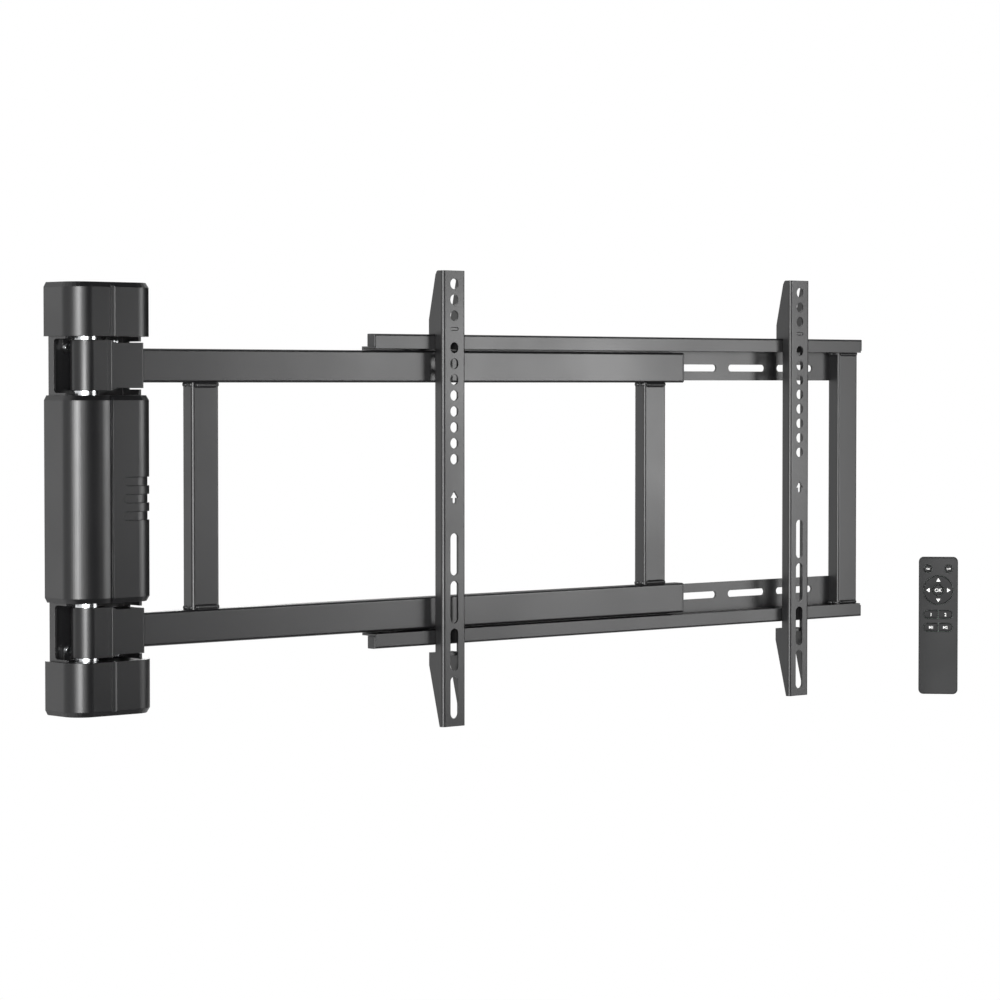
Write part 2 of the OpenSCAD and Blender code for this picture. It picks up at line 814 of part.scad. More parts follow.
// Cam with two lobes: the lower one meets its switch at rest, the upper one at full swing
module switch_cam() {
    cam_h = switch_pitch + switch_h;
    color("white") translate([hinge_x, -hinge_y, cam_z]) difference() {
        union() {
            cylinder(r = cam_r, h = cam_h);
            for (i = [0, 1]) rotate([0, 0, 90 * i])
                translate([0, cam_r - cam_lobe_r / 2, i * switch_pitch])
                    cylinder(r = cam_lobe_r, h = switch_h);
        }
        translate([0, 0, -overrun]) cylinder(r = shaft_r + press_gap, h = cam_h + 2 * overrun);
    }
}

module hub_tube() {
    color(sheet_grey) translate([hinge_x, -hinge_y, knuckle_low]) difference() {
        cylinder(r = hub_r, h = knuckle_h);
        translate([0, 0, -overrun]) cylinder(r = shaft_r + press_gap, h = knuckle_h + 2 * overrun);
    }
}
module upper_hub_tube() hub_tube();
module lower_hub_tube() mirror([0, 0, 1]) hub_tube();

// Plan of a knuckle cover from the hinge axis: hub circle, then a straight socket with rounded end corners
module knuckle_plan(reach) {
    end_r = knuckle_corner_r;
    circle(knuckle_r);
    translate([0, -knuckle_r]) square([reach - end_r, 2 * knuckle_r]);
    translate([0, end_r - knuckle_r]) square([reach, 2 * (knuckle_r - end_r)]);
    for (side = [-1, 1]) translate([reach - end_r, side * (knuckle_r - end_r)]) circle(end_r);
}

// Plastic cover round the hub tube and the arm's root
module knuckle_cover() {
    hub_end = socket_start;
    slope_end = hub_end + 2 * socket_drop;
    low = skin + press_gap;
    room_h = knuckle_h - 2 * (knuckle_wall + socket_drop);
    color(cover_grey) translate([hinge_x, -hinge_y, knuckle_low]) difference() {
        union() {
            translate([0, 0, low]) linear_extrude(knuckle_h - 2 * low) intersection() {
                knuckle_plan(knuckle_reach);
                translate([-knuckle_r, -knuckle_r]) square([knuckle_r + hub_end, 2 * knuckle_r]);
            }
            translate([0, 0, socket_drop])
                linear_extrude(knuckle_h - 2 * socket_drop) knuckle_plan(knuckle_reach);
            rotate([90, 0, 0]) translate([0, 0, -knuckle_r]) linear_extrude(2 * knuckle_r)
                polygon([[0, low], [hub_end, low], [slope_end, socket_drop],
                    [slope_end, knuckle_h - socket_drop], [hub_end, knuckle_h - low], [0, knuckle_h - low]]);
        }
        translate([0, 0, -overrun]) cylinder(r = hub_r + fit_gap, h = knuckle_h + 2 * overrun);
        translate([0, knuckle_wall - knuckle_r, knuckle_wall + socket_drop])
            cube([knuckle_reach - knuckle_end_t, 2 * (knuckle_r - knuckle_wall), room_h]);
        translate([0, -tube_d / 2 - fit_gap, knuckle_h / 2 - tube_h / 2 - fit_gap])
            cube([knuckle_reach + overrun, tube_d + 2 * fit_gap, tube_h + 2 * fit_gap]);
        translate([hub_end - knuckle_seam_w, -knuckle_r - overrun, -overrun])
            cube([knuckle_seam_w, knuckle_seam_depth + overrun, knuckle_h + 2 * overrun]);
        translate([knuckle_screw_x, 0, knuckle_h / 2])
            cylinder(r = knuckle_screw_r + fit_gap, h = knuckle_h);
    }
}
module upper_knuckle_cover() knuckle_cover();
module lower_knuckle_cover() mirror([0, 0, 1]) knuckle_cover();

// Bright screws that hold each knuckle cover to its arm
module knuckle_screws() {
    seat = knuckle_top - socket_drop;
    shank = seat - arm_z - tube_h / 2 + tube_wall;
    color(steel) for (side = [0, 1]) mirror([0, 0, side])
        translate([hinge_x + knuckle_screw_x, -hinge_y, seat]) {
            cylinder(r = knuckle_head_r, h = knuckle_head_h);
            translate([0, 0, -shank]) cylinder(r = knuckle_screw_r, h = shank + skin);
        }
}

// Rounded rectangle centred on the origin
module rounded_plan(w, h, r) {
    square([w - 2 * r, h], center = true);
    square([w, h - 2 * r], center = true);
    for (x = [-1, 1], y = [-1, 1]) translate([x * (w / 2 - r), y * (h / 2 - r)]) circle(r);
}

// Section of the arm and post tubes
module tube_plan() {
    difference() {
        rounded_plan(tube_h, tube_d, tube_r);
        rounded_plan(tube_h - 2 * tube_wall, tube_d - 2 * tube_wall, tube_r / 2);
    }
}

// Arm tube, saddled to the hub tube, with its holes for the cover screw and the clamp bolts
module arm() {
    color(sheet_grey) difference() {
        translate([hinge_x, -hinge_y, arm_z])
            rotate([0, 90, 0]) linear_extrude(arm_end_x - plug_t - hinge_x) tube_plan();
        translate([hinge_x, -hinge_y, knuckle_low]) cylinder(r = hub_r + running_gap, h = knuckle_h);
        translate([hinge_x + knuckle_screw_x, -hinge_y, arm_z])
            cylinder(r = knuckle_screw_r + running_gap, h = tube_h);
        for (i = bolt_slots) translate([web_slot_x(i), -hinge_y, arm_z]) rotate([-90, 0, 0])
            cylinder(r = clamp_bolt_d / 2 + running_gap, h = tube_d);
    }
}
module upper_arm() arm();
module lower_arm() mirror([0, 0, 1]) arm();

module post(x) {
    length = 2 * arm_z - tube_h;
    color(sheet_grey) translate([x, -hinge_y, -length / 2]) linear_extrude(length) tube_plan();
}
module inner_post() post(inner_post_x);
module outer_post() post(outer_post_x);

module arm_end_plugs() {
    inner_h = tube_h - 2 * (tube_wall + plug_gap);
    inner_d = tube_d - 2 * (tube_wall + plug_gap);
    color("black") for (side = [0, 1]) mirror([0, 0, side])
        translate([arm_end_x - plug_t, -hinge_y, arm_z]) rotate([0, 90, 0]) {
            linear_extrude(plug_t) rounded_plan(tube_h, tube_d, tube_r);
            translate([0, 0, -plug_l])
                linear_extrude(plug_l + skin) rounded_plan(inner_h, inner_d, tube_r / 2);
        }
}

// Middle of one of the rails' slots
function web_slot_x(i) = rail_left_x + rail_l / 2 + (i - (web_slot_count - 1) / 2) * web_slot_pitch;

// Half section of a button head on its flange
module bolt_head_profile() {
    dome_h = bolt_head_h - bolt_flange_t;
    polygon([[0, 0], [bolt_flange_r, 0], [bolt_flange_r, bolt_flange_t],
        for (i = [0 : 6]) let (a = 90 * i / 6)
            [bolt_head_r * (1 + cos(a)) / 2, bolt_flange_t + dome_h * sin(a)],
        [0, bolt_head_h]]);
}

// Bolts from behind, through the rail slots into the arms
module rail_clamp_bolts() {
    web_back = -hinge_y + tube_d / 2 + 2 * slide_gap + rail_t;
    color(steel) for (side = [0, 1]) mirror([0, 0, side]) for (i = bolt_slots)
        translate([web_slot_x(i), web_back, arm_z]) rotate([-90, 0, 0]) {
            difference() {
                rotate_extrude() bolt_head_profile();
                translate([0, 0, bolt_head_h / 2]) cylinder(r = clamp_bolt_d / 3, h = bolt_head_h, $fn = 6);
            }
            translate([0, 0, -bolt_grip]) cylinder(d = clamp_bolt_d, h = bolt_grip + skin);
        }
}

// Section of the upper rail, with y across the mount and z up: box lip, flange and web
lip_front = -hinge_y - tube_d / 2 - lip_proud;
web_front = -hinge_y + tube_d / 2 + slide_gap;
flange_low = arm_z + tube_h / 2 + flange_gap;
flange_top = flange_low + rail_t;
lip_top = flange_top + lip_h;
module lip_plan() {
    difference() {
        union() {
            translate([lip_front, flange_top - skin]) square([lip_d, lip_h - rail_bend_r + skin]);
            translate([lip_front + rail_bend_r, flange_top]) square([lip_d - 2 * rail_bend_r, lip_h]);
            for (y = [rail_bend_r, lip_d - rail_bend_r])
                translate([lip_front + y, lip_top - rail_bend_r]) circle(rail_bend_r);
        }
        translate([lip_front + rail_t, flange_top]) square([lip_d - 2 * rail_t, lip_h - rail_t]);
    }
}
module flange_plan() {
    translate([lip_front, flange_low]) square([web_front + rail_t - lip_front, rail_t]);
}
module web_plan() {
    translate([web_front, flange_top - web_h]) square([rail_t, web_h]);
}

// Extrudes a y and z section along x
module along_x(from, length) {
    translate([from, 0, 0]) rotate([90, 0, 90]) linear_extrude(length) children();
}

module rail() {
    sheet_left = rail_left_x + plug_t;
    sheet_l = rail_l - 2 * plug_t;
    slot_r = web_slot_w / 2;
    color(sheet_grey) difference() {
        union() {
            along_x(sheet_left, sheet_l) lip_plan();
            along_x(sheet_left, sheet_l) flange_plan();
            along_x(sheet_left, end_post_left - sheet_left) web_plan();
        }
        for (i = [0 : web_slot_count - 1]) translate([web_slot_x(i), web_front - overrun, arm_z]) {
            for (side = [-1, 1]) translate([side * (web_slot_l / 2 - slot_r), 0, 0])
                rotate([-90, 0, 0]) cylinder(r = slot_r, h = rail_t + 2 * overrun);
            translate([slot_r - web_slot_l / 2, 0, -slot_r])
                cube([web_slot_l - web_slot_w, rail_t + 2 * overrun, web_slot_w]);
        }
    }
}
module upper_rail() rail();
module lower_rail() mirror([0, 0, 1]) rail();

// End post between the rails, its back flush with the webs
end_post_left = rail_left_x + rail_l - end_post_inset - tube_h;
module end_post() {
    color(sheet_grey) translate([end_post_left + tube_h / 2, web_front + rail_t - tube_d / 2, -flange_low])
        linear_extrude(2 * flange_low) tube_plan();
}

// Plugs that close the lips at both ends
module rail_end_caps() {
    inner_h = lip_h - rail_t - 2 * plug_gap;
    inner_d = lip_d - 2 * (rail_t + plug_gap);
    color("black") for (side = [0, 1], end = [0, 1]) mirror([0, 0, side])
        translate([rail_left_x + end * rail_l, lip_front, flange_top]) mirror([end, 0, 0]) {
            intersection() {
                rotate([90, 0, 90]) linear_extrude(plug_t) {
                    square([lip_d, lip_h - rail_bend_r]);
                    translate([rail_bend_r, 0]) square([lip_d - 2 * rail_bend_r, lip_h]);
                    for (y = [rail_bend_r, lip_d - rail_bend_r])
                        translate([y, lip_h - rail_bend_r]) circle(rail_bend_r);
                }
                linear_extrude(lip_h) {
                    translate([cap_edge_r, 0]) square([plug_t, lip_d]);
                    translate([0, cap_edge_r]) square([plug_t, lip_d - 2 * cap_edge_r]);
                    for (y = [cap_edge_r, lip_d - cap_edge_r]) translate([cap_edge_r, y]) circle(cap_edge_r);
                }
            }
            translate([plug_t - skin, rail_t + plug_gap, plug_gap]) cube([plug_l, inner_d, inner_h]);
        }
}

// Bracket section seen from above, front face on y = 0: a U with round bends
module bracket_plan() {
    half = bracket_w / 2;
    difference() {
        union() {
            translate([-half + bend_r, 0]) square([bracket_w - 2 * bend_r, ear_d]);
            translate([-half, bend_r]) square([bracket_w, ear_d - bend_r]);
            for (side = [-1, 1]) translate([side * (half - bend_r), bend_r]) circle(bend_r);
        }
        translate([bend_r - half, bracket_t]) square([bracket_w - 2 * bend_r, ear_d]);
        translate([bracket_t - half, bend_r]) square([bracket_w - 2 * bracket_t, ear_d]);
        for (side = [-1, 1]) translate([side * (half - bend_r), bend_r]) circle(bend_r - bracket_t);
    }
}

// Side view of a bracket, y = 0 on its front and z = 0 at its top
module bracket_side() {
    notch_top = -bracket_rise;
    notch_low = -bracket_rise - 2 * lip_top - notch_gap;
    difference() {
        polygon([[0, 0], [bracket_end_d, 0], [ear_d, -top_taper_h], [ear_d, notch_top],
            [bracket_d, notch_top], [bracket_d, notch_low], [ear_d, notch_low],
            [ear_d, notch_low - foot_ear_h], [bracket_foot_d, -bracket_h], [0, -bracket_h]]);
        translate([bracket_end_d - corner_r, -corner_r]) difference() {
            square([2 * corner_r, 2 * corner_r]);
            circle(corner_r);
        }
    }
}

// Up arrow, its tip at the top of a place of height arrow_h
module arrow_plan() {
    stem_r = arrow_stem_w / 2;
    head_h = arrow_h * arrow_head_share;
    polygon([[0, 0], [arrow_w / 2, -head_h], [-arrow_w / 2, -head_h]]);
    translate([-stem_r, stem_r - arrow_h]) square([arrow_stem_w, arrow_h - arrow_stem_w]);
    translate([0, stem_r - arrow_h]) circle(stem_r);
}

// Cuts a shape drawn in x and z through the front face
module face_cut() {
    rotate([90, 0, 0]) translate([0, 0, -bracket_t - overrun])
        linear_extrude(bracket_t + 2 * overrun) children();
}

// Bore of a round hole, from just before the front face
module face_hole() {
    rotate([-90, 0, 0]) cylinder(d = tv_hole_d, h = bracket_t + 2 * overrun);
}

module bracket() {
    color(sheet_grey) difference() {
        intersection() {
            translate([0, 0, -bracket_h]) linear_extrude(bracket_h) bracket_plan();
            rotate([90, 0, 90]) translate([0, 0, -bracket_w]) linear_extrude(2 * bracket_w) bracket_side();
        }
        for (i = [0 : hole_places - 1]) if (i != obround_place)
            translate([0, -overrun, -first_hole - i * hole_pitch]) face_hole();
        face_cut() {
            translate([0, -obround_drop]) {
                square([obround_w - obround_h, obround_h], center = true);
                for (side = [-1, 1])
                    translate([side * (obround_w - obround_h) / 2, 0]) circle(d = obround_h);
            }
            translate([0, -arrow_drop]) arrow_plan();
        }
        for (i = [0 : tv_slot_count - 1])
            translate([0, -overrun, last_slot_rise - bracket_h + i * tv_slot_pitch]) {
                for (side = [-1, 1]) translate([0, 0, side * (tv_slot_l - tv_hole_d) / 2]) face_hole();
                translate([-tv_hole_d / 2, 0, (tv_hole_d - tv_slot_l) / 2])
                    cube([tv_hole_d, bracket_t + 2 * overrun, tv_slot_l - tv_hole_d]);
            }
    }
}

// Where a bracket hangs: its ears on the upper lip, its inner edge just clear of the lips' fronts
bracket_front = lip_front - bracket_d - fit_gap;
bracket_top = lip_top + bracket_rise;
module hang(x) translate([x, bracket_front, bracket_top]) children();
bracket_h = bracket_rise + 2 * lip_top + bracket_tail;
right_bracket_x = left_bracket_x + bracket_spacing;

// Cross plate over the upper lip, with a hook behind it and a tab in the obround
module hook_plate() {
    inner = bracket_w / 2 - bracket_t;
    lip_back = bracket_d + fit_gap + lip_d + hook_gap;
    color(sheet_grey) translate([0, 0, -hook_drop - hook_t]) {
        translate([-inner, bend_r, 0]) cube([2 * inner, ear_d + overrun - bend_r, hook_t]);
        translate([-tab_w / 2, bracket_t / 4, 0]) cube([tab_w, bend_r, hook_t]);
        translate([-hook_w / 2, ear_d, 0]) cube([hook_w, lip_back + hook_t - ear_d, hook_t]);
        translate([-hook_w / 2, lip_back, -hook_reach - bracket_rise + hook_drop + hook_t])
            cube([hook_w, hook_t, hook_reach + bracket_rise - hook_drop]);
    }
}

// Cross plate under the lower lip, drilled for the lock screw
lock_y = bracket_d + fit_gap + lip_d / 2;
lock_top = -bracket_rise - 2 * lip_top - notch_gap;
module lock_plate() {
    inner = bracket_w / 2 - bracket_t;
    color(sheet_grey) difference() {
        translate([-inner, bend_r, lock_top - lock_t]) cube([2 * inner, ear_d - bend_r, lock_t]);
        translate([0, lock_y, lock_top - lock_t - overrun])
            cylinder(r = lock_hole_r, h = lock_t + 2 * overrun);
    }
}

// Knurled screw that closes on the lower lip from below
module lock_screw() {
    color(steel) translate([0, lock_y, lock_top - lock_t - lock_tail]) {
        cylinder(r = lock_screw_r, h = notch_gap - slide_gap + lock_t + lock_tail);
        translate([0, 0, -lock_head_h]) cylinder(r = lock_head_r, h = lock_head_h);
    }
}

module left_tv_bracket() hang(left_bracket_x) bracket();
module left_hook_plate() hang(left_bracket_x) hook_plate();
module left_lock_plate() hang(left_bracket_x) lock_plate();
module left_lock_screw() hang(left_bracket_x) lock_screw();
module right_tv_bracket() hang(right_bracket_x) bracket();
module right_hook_plate() hang(right_bracket_x) hook_plate();
module right_lock_plate() hang(right_bracket_x) lock_plate();
module right_lock_screw() hang(right_bracket_x) lock_screw();

// The remote is drawn with its face towards -Y and its parting line on y = 0, then turned and placed
module place_remote() {
    translate([remote_x, remote_y, remote_z]) rotate([0, 0, -remote_turn]) children();
}

// Extrudes a shape drawn in x and z from y = from towards y = to
module slab(from, to) {
    translate([0, to, 0]) rotate([90, 0, 0]) linear_extrude(to - from) children();
}

module remote_plan(inset = 0) {
    rounded_plan(remote_w - 2 * inset, remote_h - 2 * inset, remote_corner_r - inset);
}

// One half of the remote's case, closed towards -Y
module half_case() {
    depth = remote_d / 2;
    difference() {
        union() {
            slab(remote_bevel - depth, 0) remote_plan();
            hull() {
                slab(remote_bevel - depth, remote_bevel - depth + skin) remote_plan($fn = 32);
                slab(-depth, skin - depth) remote_plan(remote_bevel, $fn = 32);
            }
        }
        slab(remote_wall - depth, overrun) remote_plan(remote_wall);
    }
}

module pill_plan(gap) {
    rounded_plan(bar_w + 2 * gap, bar_h + 2 * gap, bar_h / 2 + gap - skin);
}

module ok_plan(gap) {
    rotate(45) rounded_plan(ok_side + 2 * gap, ok_side + 2 * gap, ok_corner_r + gap);
}

// Left or right half of a bar button
module half_pill(side) {
    intersection() {
        pill_plan(0);
        translate([side > 0 ? bar_split / 2 : -bar_w, -bar_h]) square([bar_w - bar_split / 2, 2 * bar_h]);
    }
}

module remote_front_shell() {
    color(cover_grey) place_remote() difference() {
        half_case();
        slab(-remote_d, 0) {
            for (side = [-1, 1])
                translate([side * round_button_x, round_button_z]) circle(round_button_r + button_gap);
            translate([0, ring_z]) circle(ring_r + button_gap);
            translate([0, bar_z]) pill_plan(button_gap);
            translate([0, bar_z - bar_pitch]) pill_plan(button_gap);
        }
    }
}

module remote_back_shell() {
    color(cover_grey) place_remote() difference() {
        mirror([0, 1, 0]) half_case();
        slab(0, remote_d) translate([0, battery_z]) square([door_w, door_h], center = true);
    }
}

// Door with a lip inside the case at its top and bottom edges
module remote_battery_door() {
    w = door_w - 2 * button_gap;
    h = door_h - 2 * button_gap;
    back = remote_d / 2;
    inner = back - remote_wall;
    color(cover_grey) place_remote() {
        slab(inner, back) translate([0, battery_z]) square([w, h], center = true);
        slab(inner - door_lip, inner + skin) translate([0, battery_z]) difference() {
            square([w / 2, h], center = true);
            square([w, h - 2 * door_lip], center = true);
        }
        slab(inner - door_lip, inner - plug_gap) translate([0, battery_z]) difference() {
            square([w / 2, h + 2 * door_lip], center = true);
            square([w, h - 2 * door_lip], center = true);
        }
    }
}

// The buttons' skirts lie just inside the front wall
skirt_y = remote_wall - remote_d / 2 + press_gap;
board_y = skirt_y + skirt_t + button_travel + button_gap;
module remote_board() {
    low = battery_z + battery_l / 2 + 4 * board_t;
    high = remote_h / 2 - 2 * remote_wall - button_gap;
    width = remote_w - 4 * remote_wall;
    color("darkgreen") place_remote() slab(board_y, board_y + board_t)
        translate([0, (low + high) / 2]) square([width, high - low], center = true);
}

module remote_batteries() {
    color("goldenrod") place_remote() for (side = [-1, 1])
        translate([side * battery_x, remote_d / 2 - remote_wall - fit_gap - battery_r, battery_z]) {
            translate([0, 0, -battery_l / 2]) cylinder(r = battery_r, h = battery_l);
            translate([0, 0, side > 0 ? battery_l / 2 - skin : -battery_l / 2 - battery_nub_l])
                cylinder(r = battery_nub_r, h = battery_nub_l + skin);
        }
}

// A button: the visible cap in its opening, and a skirt behind the wall that keeps it in
module button(z, span) {
    face = -remote_d / 2;
    place_remote() translate([0, 0, z]) {
        slab(face - button_proud, skirt_y + skin) children(0);
        slab(skirt_y, skirt_y + skirt_t) children(1);
    }
}

module left_round_button() color("gray") button(round_button_z) {
    translate([-round_button_x, 0]) circle(round_button_r);
    translate([-round_button_x, 0]) circle(round_button_r + skirt);
}
module right_round_button() color("gray") button(round_button_z) {
    translate([round_button_x, 0]) circle(round_button_r);
    translate([round_button_x, 0]) circle(round_button_r + skirt);
}
module arrow_ring() color(cover_grey) button(ring_z) {
    difference() { circle(ring_r); ok_plan(button_gap); }
    difference() { circle(ring_r + skirt); ok_plan(button_gap); }
}
module ok_button() color(cover_grey) button(ring_z) {
    ok_plan(0);
    ok_plan(0);
}
module bar_button(z, side) color(cover_grey) button(z) {
    half_pill(side);
    translate([side * bar_split / 2, 0]) half_pill(side);
}
module button_one() bar_button(bar_z, -1);
module button_two() bar_button(bar_z, 1);
module memory_one_button() bar_button(bar_z - bar_pitch, -1);
module memory_two_button() bar_button(bar_z - bar_pitch, 1);

wall_channel();
top_cap();
middle_cover();
bottom_cap();
top_hinge_plate();
upper_mid_hinge_plate();
lower_mid_hinge_plate();
bottom_hinge_plate();
hinge_bushes();
thrust_washers();
hinge_plate_screws();
motor_can();
motor_gearbox();
motor_bracket();
control_board();
infrared_receiver();
limit_switches();
dc_inlet_socket();
pivot_shaft();
shaft_collars();
driven_gear();
switch_cam();
upper_hub_tube();
lower_hub_tube();
upper_knuckle_cover();
lower_knuckle_cover();
knuckle_screws();
upper_arm();
lower_arm();
inner_post();
outer_post();
arm_end_plugs();
rail_clamp_bolts();
motor_shaft();
drive_pinion();
upper_rail();
lower_rail();
end_post();
rail_end_caps();
left_tv_bracket();
left_hook_plate();
left_lock_plate();
left_lock_screw();
right_tv_bracket();
right_hook_plate();
right_lock_plate();
right_lock_screw();
remote_front_shell();
remote_back_shell();
remote_battery_door();
remote_board();
remote_batteries();
left_round_button();
right_round_button();
arrow_ring();
ok_button();
button_one();
button_two();
memory_one_button();
memory_two_button();
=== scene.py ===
"""Looks for the motorized TV wall mount: finishes, welds, screws, knobs, key marks, studio and camera."""

import math

import bmesh
import bpy
import numpy as np
from bpy.props import FloatProperty, FloatVectorProperty, PointerProperty, StringProperty
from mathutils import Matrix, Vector


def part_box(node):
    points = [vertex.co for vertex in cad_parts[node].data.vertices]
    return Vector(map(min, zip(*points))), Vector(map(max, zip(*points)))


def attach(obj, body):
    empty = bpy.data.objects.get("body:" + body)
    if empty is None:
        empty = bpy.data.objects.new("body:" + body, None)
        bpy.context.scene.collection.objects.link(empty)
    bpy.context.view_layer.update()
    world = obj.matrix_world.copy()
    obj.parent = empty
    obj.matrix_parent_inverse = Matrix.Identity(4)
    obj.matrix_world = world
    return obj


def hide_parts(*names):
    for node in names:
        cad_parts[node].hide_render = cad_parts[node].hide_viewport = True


bl_info = {
    "name": "Motorized TV wall mount looks",
    "version": (1, 0, 0),
    "blender": (4, 5, 0),
    "location": "3D View > Sidebar > TV mount",
    "description": "Dresses the swing-arm TV wall mount in its finishes and adds its small details",
    "category": "Object",
}

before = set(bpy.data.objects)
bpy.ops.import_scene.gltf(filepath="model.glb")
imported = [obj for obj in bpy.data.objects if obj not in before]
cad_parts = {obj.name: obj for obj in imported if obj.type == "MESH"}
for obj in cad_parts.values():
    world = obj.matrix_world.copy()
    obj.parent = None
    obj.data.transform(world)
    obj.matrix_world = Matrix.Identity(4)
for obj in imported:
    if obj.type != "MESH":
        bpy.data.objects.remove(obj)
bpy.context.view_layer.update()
MM = 0.001
# Noise values mostly lie between these two
NOISE_LOW, NOISE_HIGH = 0.3, 0.7
# Rays that a rounded edge is felt out with
EDGE_SAMPLES = 4
# Points that coincide at a pole of a grid lie within this distance
SAME_POINT = 1e-7
# Printed marks stand this far off their key's face
PRINT_LIFT = 0.03 * MM

# Which CAD nodes get which finish
POWDER_COATED = (
    "wall_channel", "top_hinge_plate", "upper_mid_hinge_plate", "lower_mid_hinge_plate", "bottom_hinge_plate",
    "motor_bracket", "upper_hub_tube", "lower_hub_tube", "upper_arm", "lower_arm", "inner_post", "outer_post",
    "upper_rail", "lower_rail", "end_post", "left_tv_bracket", "right_tv_bracket", "left_hook_plate",
    "right_hook_plate", "left_lock_plate", "right_lock_plate", "rail_clamp_bolts",
)
COLUMN_COVERS = ("top_cap", "middle_cover", "bottom_cap", "upper_knuckle_cover", "lower_knuckle_cover")
PLUGS = ("arm_end_plugs", "rail_end_caps")
TURNED_STEEL = (
    "thrust_washers", "hinge_plate_screws", "motor_gearbox", "pivot_shaft", "shaft_collars", "driven_gear",
    "knuckle_screws", "motor_shaft", "drive_pinion", "left_lock_screw", "right_lock_screw",
)
REMOTE_CASE = ("remote_front_shell", "remote_back_shell", "remote_battery_door")
REMOTE_KEYS = (
    "left_round_button", "right_round_button", "arrow_ring", "ok_button", "button_one", "button_two",
    "memory_one_button", "memory_two_button",
)


class MountFinishProps(bpy.types.PropertyGroup):
    """Colours and surface sizes of the mount."""

    coat_colour: StringProperty(name="Powder coat", description="sRGB hex of the black powder coat",
                                default="111112")
    cover_colour: StringProperty(name="Covers", description="sRGB hex of the moulded covers",
                                 default="0f0f10")
    remote_colour: StringProperty(name="Remote", description="sRGB hex of the remote's case",
                                  default="0f1011")
    key_colour: StringProperty(name="Keys", description="sRGB hex of the rubber keys", default="0d0e0f")
    coat_roughness: FloatProperty(name="Coat roughness", description="Roughness of the powder coat",
                                  default=0.36, min=0.1, max=0.9)
    cover_roughness: FloatProperty(name="Cover roughness", description="Roughness of the moulded covers",
                                   default=0.34, min=0.1, max=0.9)
    # Real peel waves lie 1 to 3 mm apart, so this one is true to size
    peel_size: FloatProperty(name="Orange peel", description="Distance between waves of the powder coat",
                             default=1.6 * MM, min=0.5 * MM, max=5 * MM, unit="LENGTH")
    # Real spark grain is 0.1 to 0.3 mm, too fine to show, so it is drawn as coarse as the picture needs
    spark_size: FloatProperty(name="Spark texture", description="Grain of the moulded texture",
                              default=0.9 * MM, min=0.2 * MM, max=3 * MM, unit="LENGTH")
    edge_round: FloatProperty(name="Edge rounding", description="Radius that sheet edges show",
                              default=0.5 * MM, min=0.0, max=2 * MM, unit="LENGTH")
    cover_round: FloatProperty(name="Cover rounding", description="Radius that moulded edges show",
                               default=0.8 * MM, min=0.0, max=2 * MM, unit="LENGTH")
    weld_ripple: FloatProperty(name="Weld ripple", description="Distance between the ripples of a weld",
                               default=1.7 * MM, min=0.5 * MM, max=5 * MM, unit="LENGTH")


class MountRemoteProps(bpy.types.PropertyGroup):
    """Place and sizes of the remote and its keys."""

    remote_place: FloatVectorProperty(name="Remote", description="Middle of the remote",
                                      default=(1.114, -0.0263, -0.1632), subtype="XYZ", unit="LENGTH")
    remote_turn: FloatProperty(name="Turn", description="Turn of the remote's face",
                               default=math.radians(49.7), subtype="ANGLE")
    remote_tall: FloatProperty(name="Height", description="Height of the remote", default=149 * MM,
                               unit="LENGTH")
    remote_depth: FloatProperty(name="Depth", description="Depth of the remote", default=15 * MM,
                                unit="LENGTH")
    dish_wide: FloatProperty(name="Hollow's width", description="Width over which the face is hollowed",
                             default=38 * MM, unit="LENGTH")
    dish_rise: FloatProperty(name="Hollow's depth", description="How far the face rises towards its sides",
                             default=1.3 * MM, unit="LENGTH")
    key_proud: FloatProperty(name="Key height", description="Height of the keys over the face",
                             default=0.8 * MM, unit="LENGTH")
    round_x: FloatProperty(name="Round keys", description="Round keys from the middle", default=11.1 * MM,
                           unit="LENGTH")
    round_r: FloatProperty(name="Round key radius", description="Radius of the round keys", default=4.3 * MM,
                           unit="LENGTH")
    round_drop: FloatProperty(name="Round key drop", description="Round keys from the top", default=12.5 * MM,
                              unit="LENGTH")
    ring_r: FloatProperty(name="Ring radius", description="Radius of the arrow ring", default=15.8 * MM,
                          unit="LENGTH")
    ring_drop: FloatProperty(name="Ring drop", description="Arrow ring from the top", default=35.7 * MM,
                             unit="LENGTH")
    ok_side: FloatProperty(name="OK side", description="Side of the OK key", default=11 * MM, unit="LENGTH")
    ok_corner: FloatProperty(name="OK corner", description="Corner radius of the OK key", default=3.6 * MM,
                             unit="LENGTH")
    bar_wide: FloatProperty(name="Bar width", description="Width of a bar of two keys", default=31 * MM,
                            unit="LENGTH")
    bar_tall: FloatProperty(name="Bar height", description="Height of a bar of two keys", default=9 * MM,
                            unit="LENGTH")
    bar_drop: FloatProperty(name="Bar drop", description="First bar from the top", default=62.2 * MM,
                            unit="LENGTH")
    bar_pitch: FloatProperty(name="Bar pitch", description="Second bar below the first", default=14 * MM,
                             unit="LENGTH")
    arrow_wide: FloatProperty(name="Arrow width", description="Width of an arrow mark", default=4.6 * MM,
                              unit="LENGTH")
    arrow_near: FloatProperty(name="Arrow base", description="Arrow's base from the ring's middle",
                              default=9.4 * MM, unit="LENGTH")
    arrow_far: FloatProperty(name="Arrow tip", description="Arrow's tip from the ring's middle",
                             default=13 * MM, unit="LENGTH")


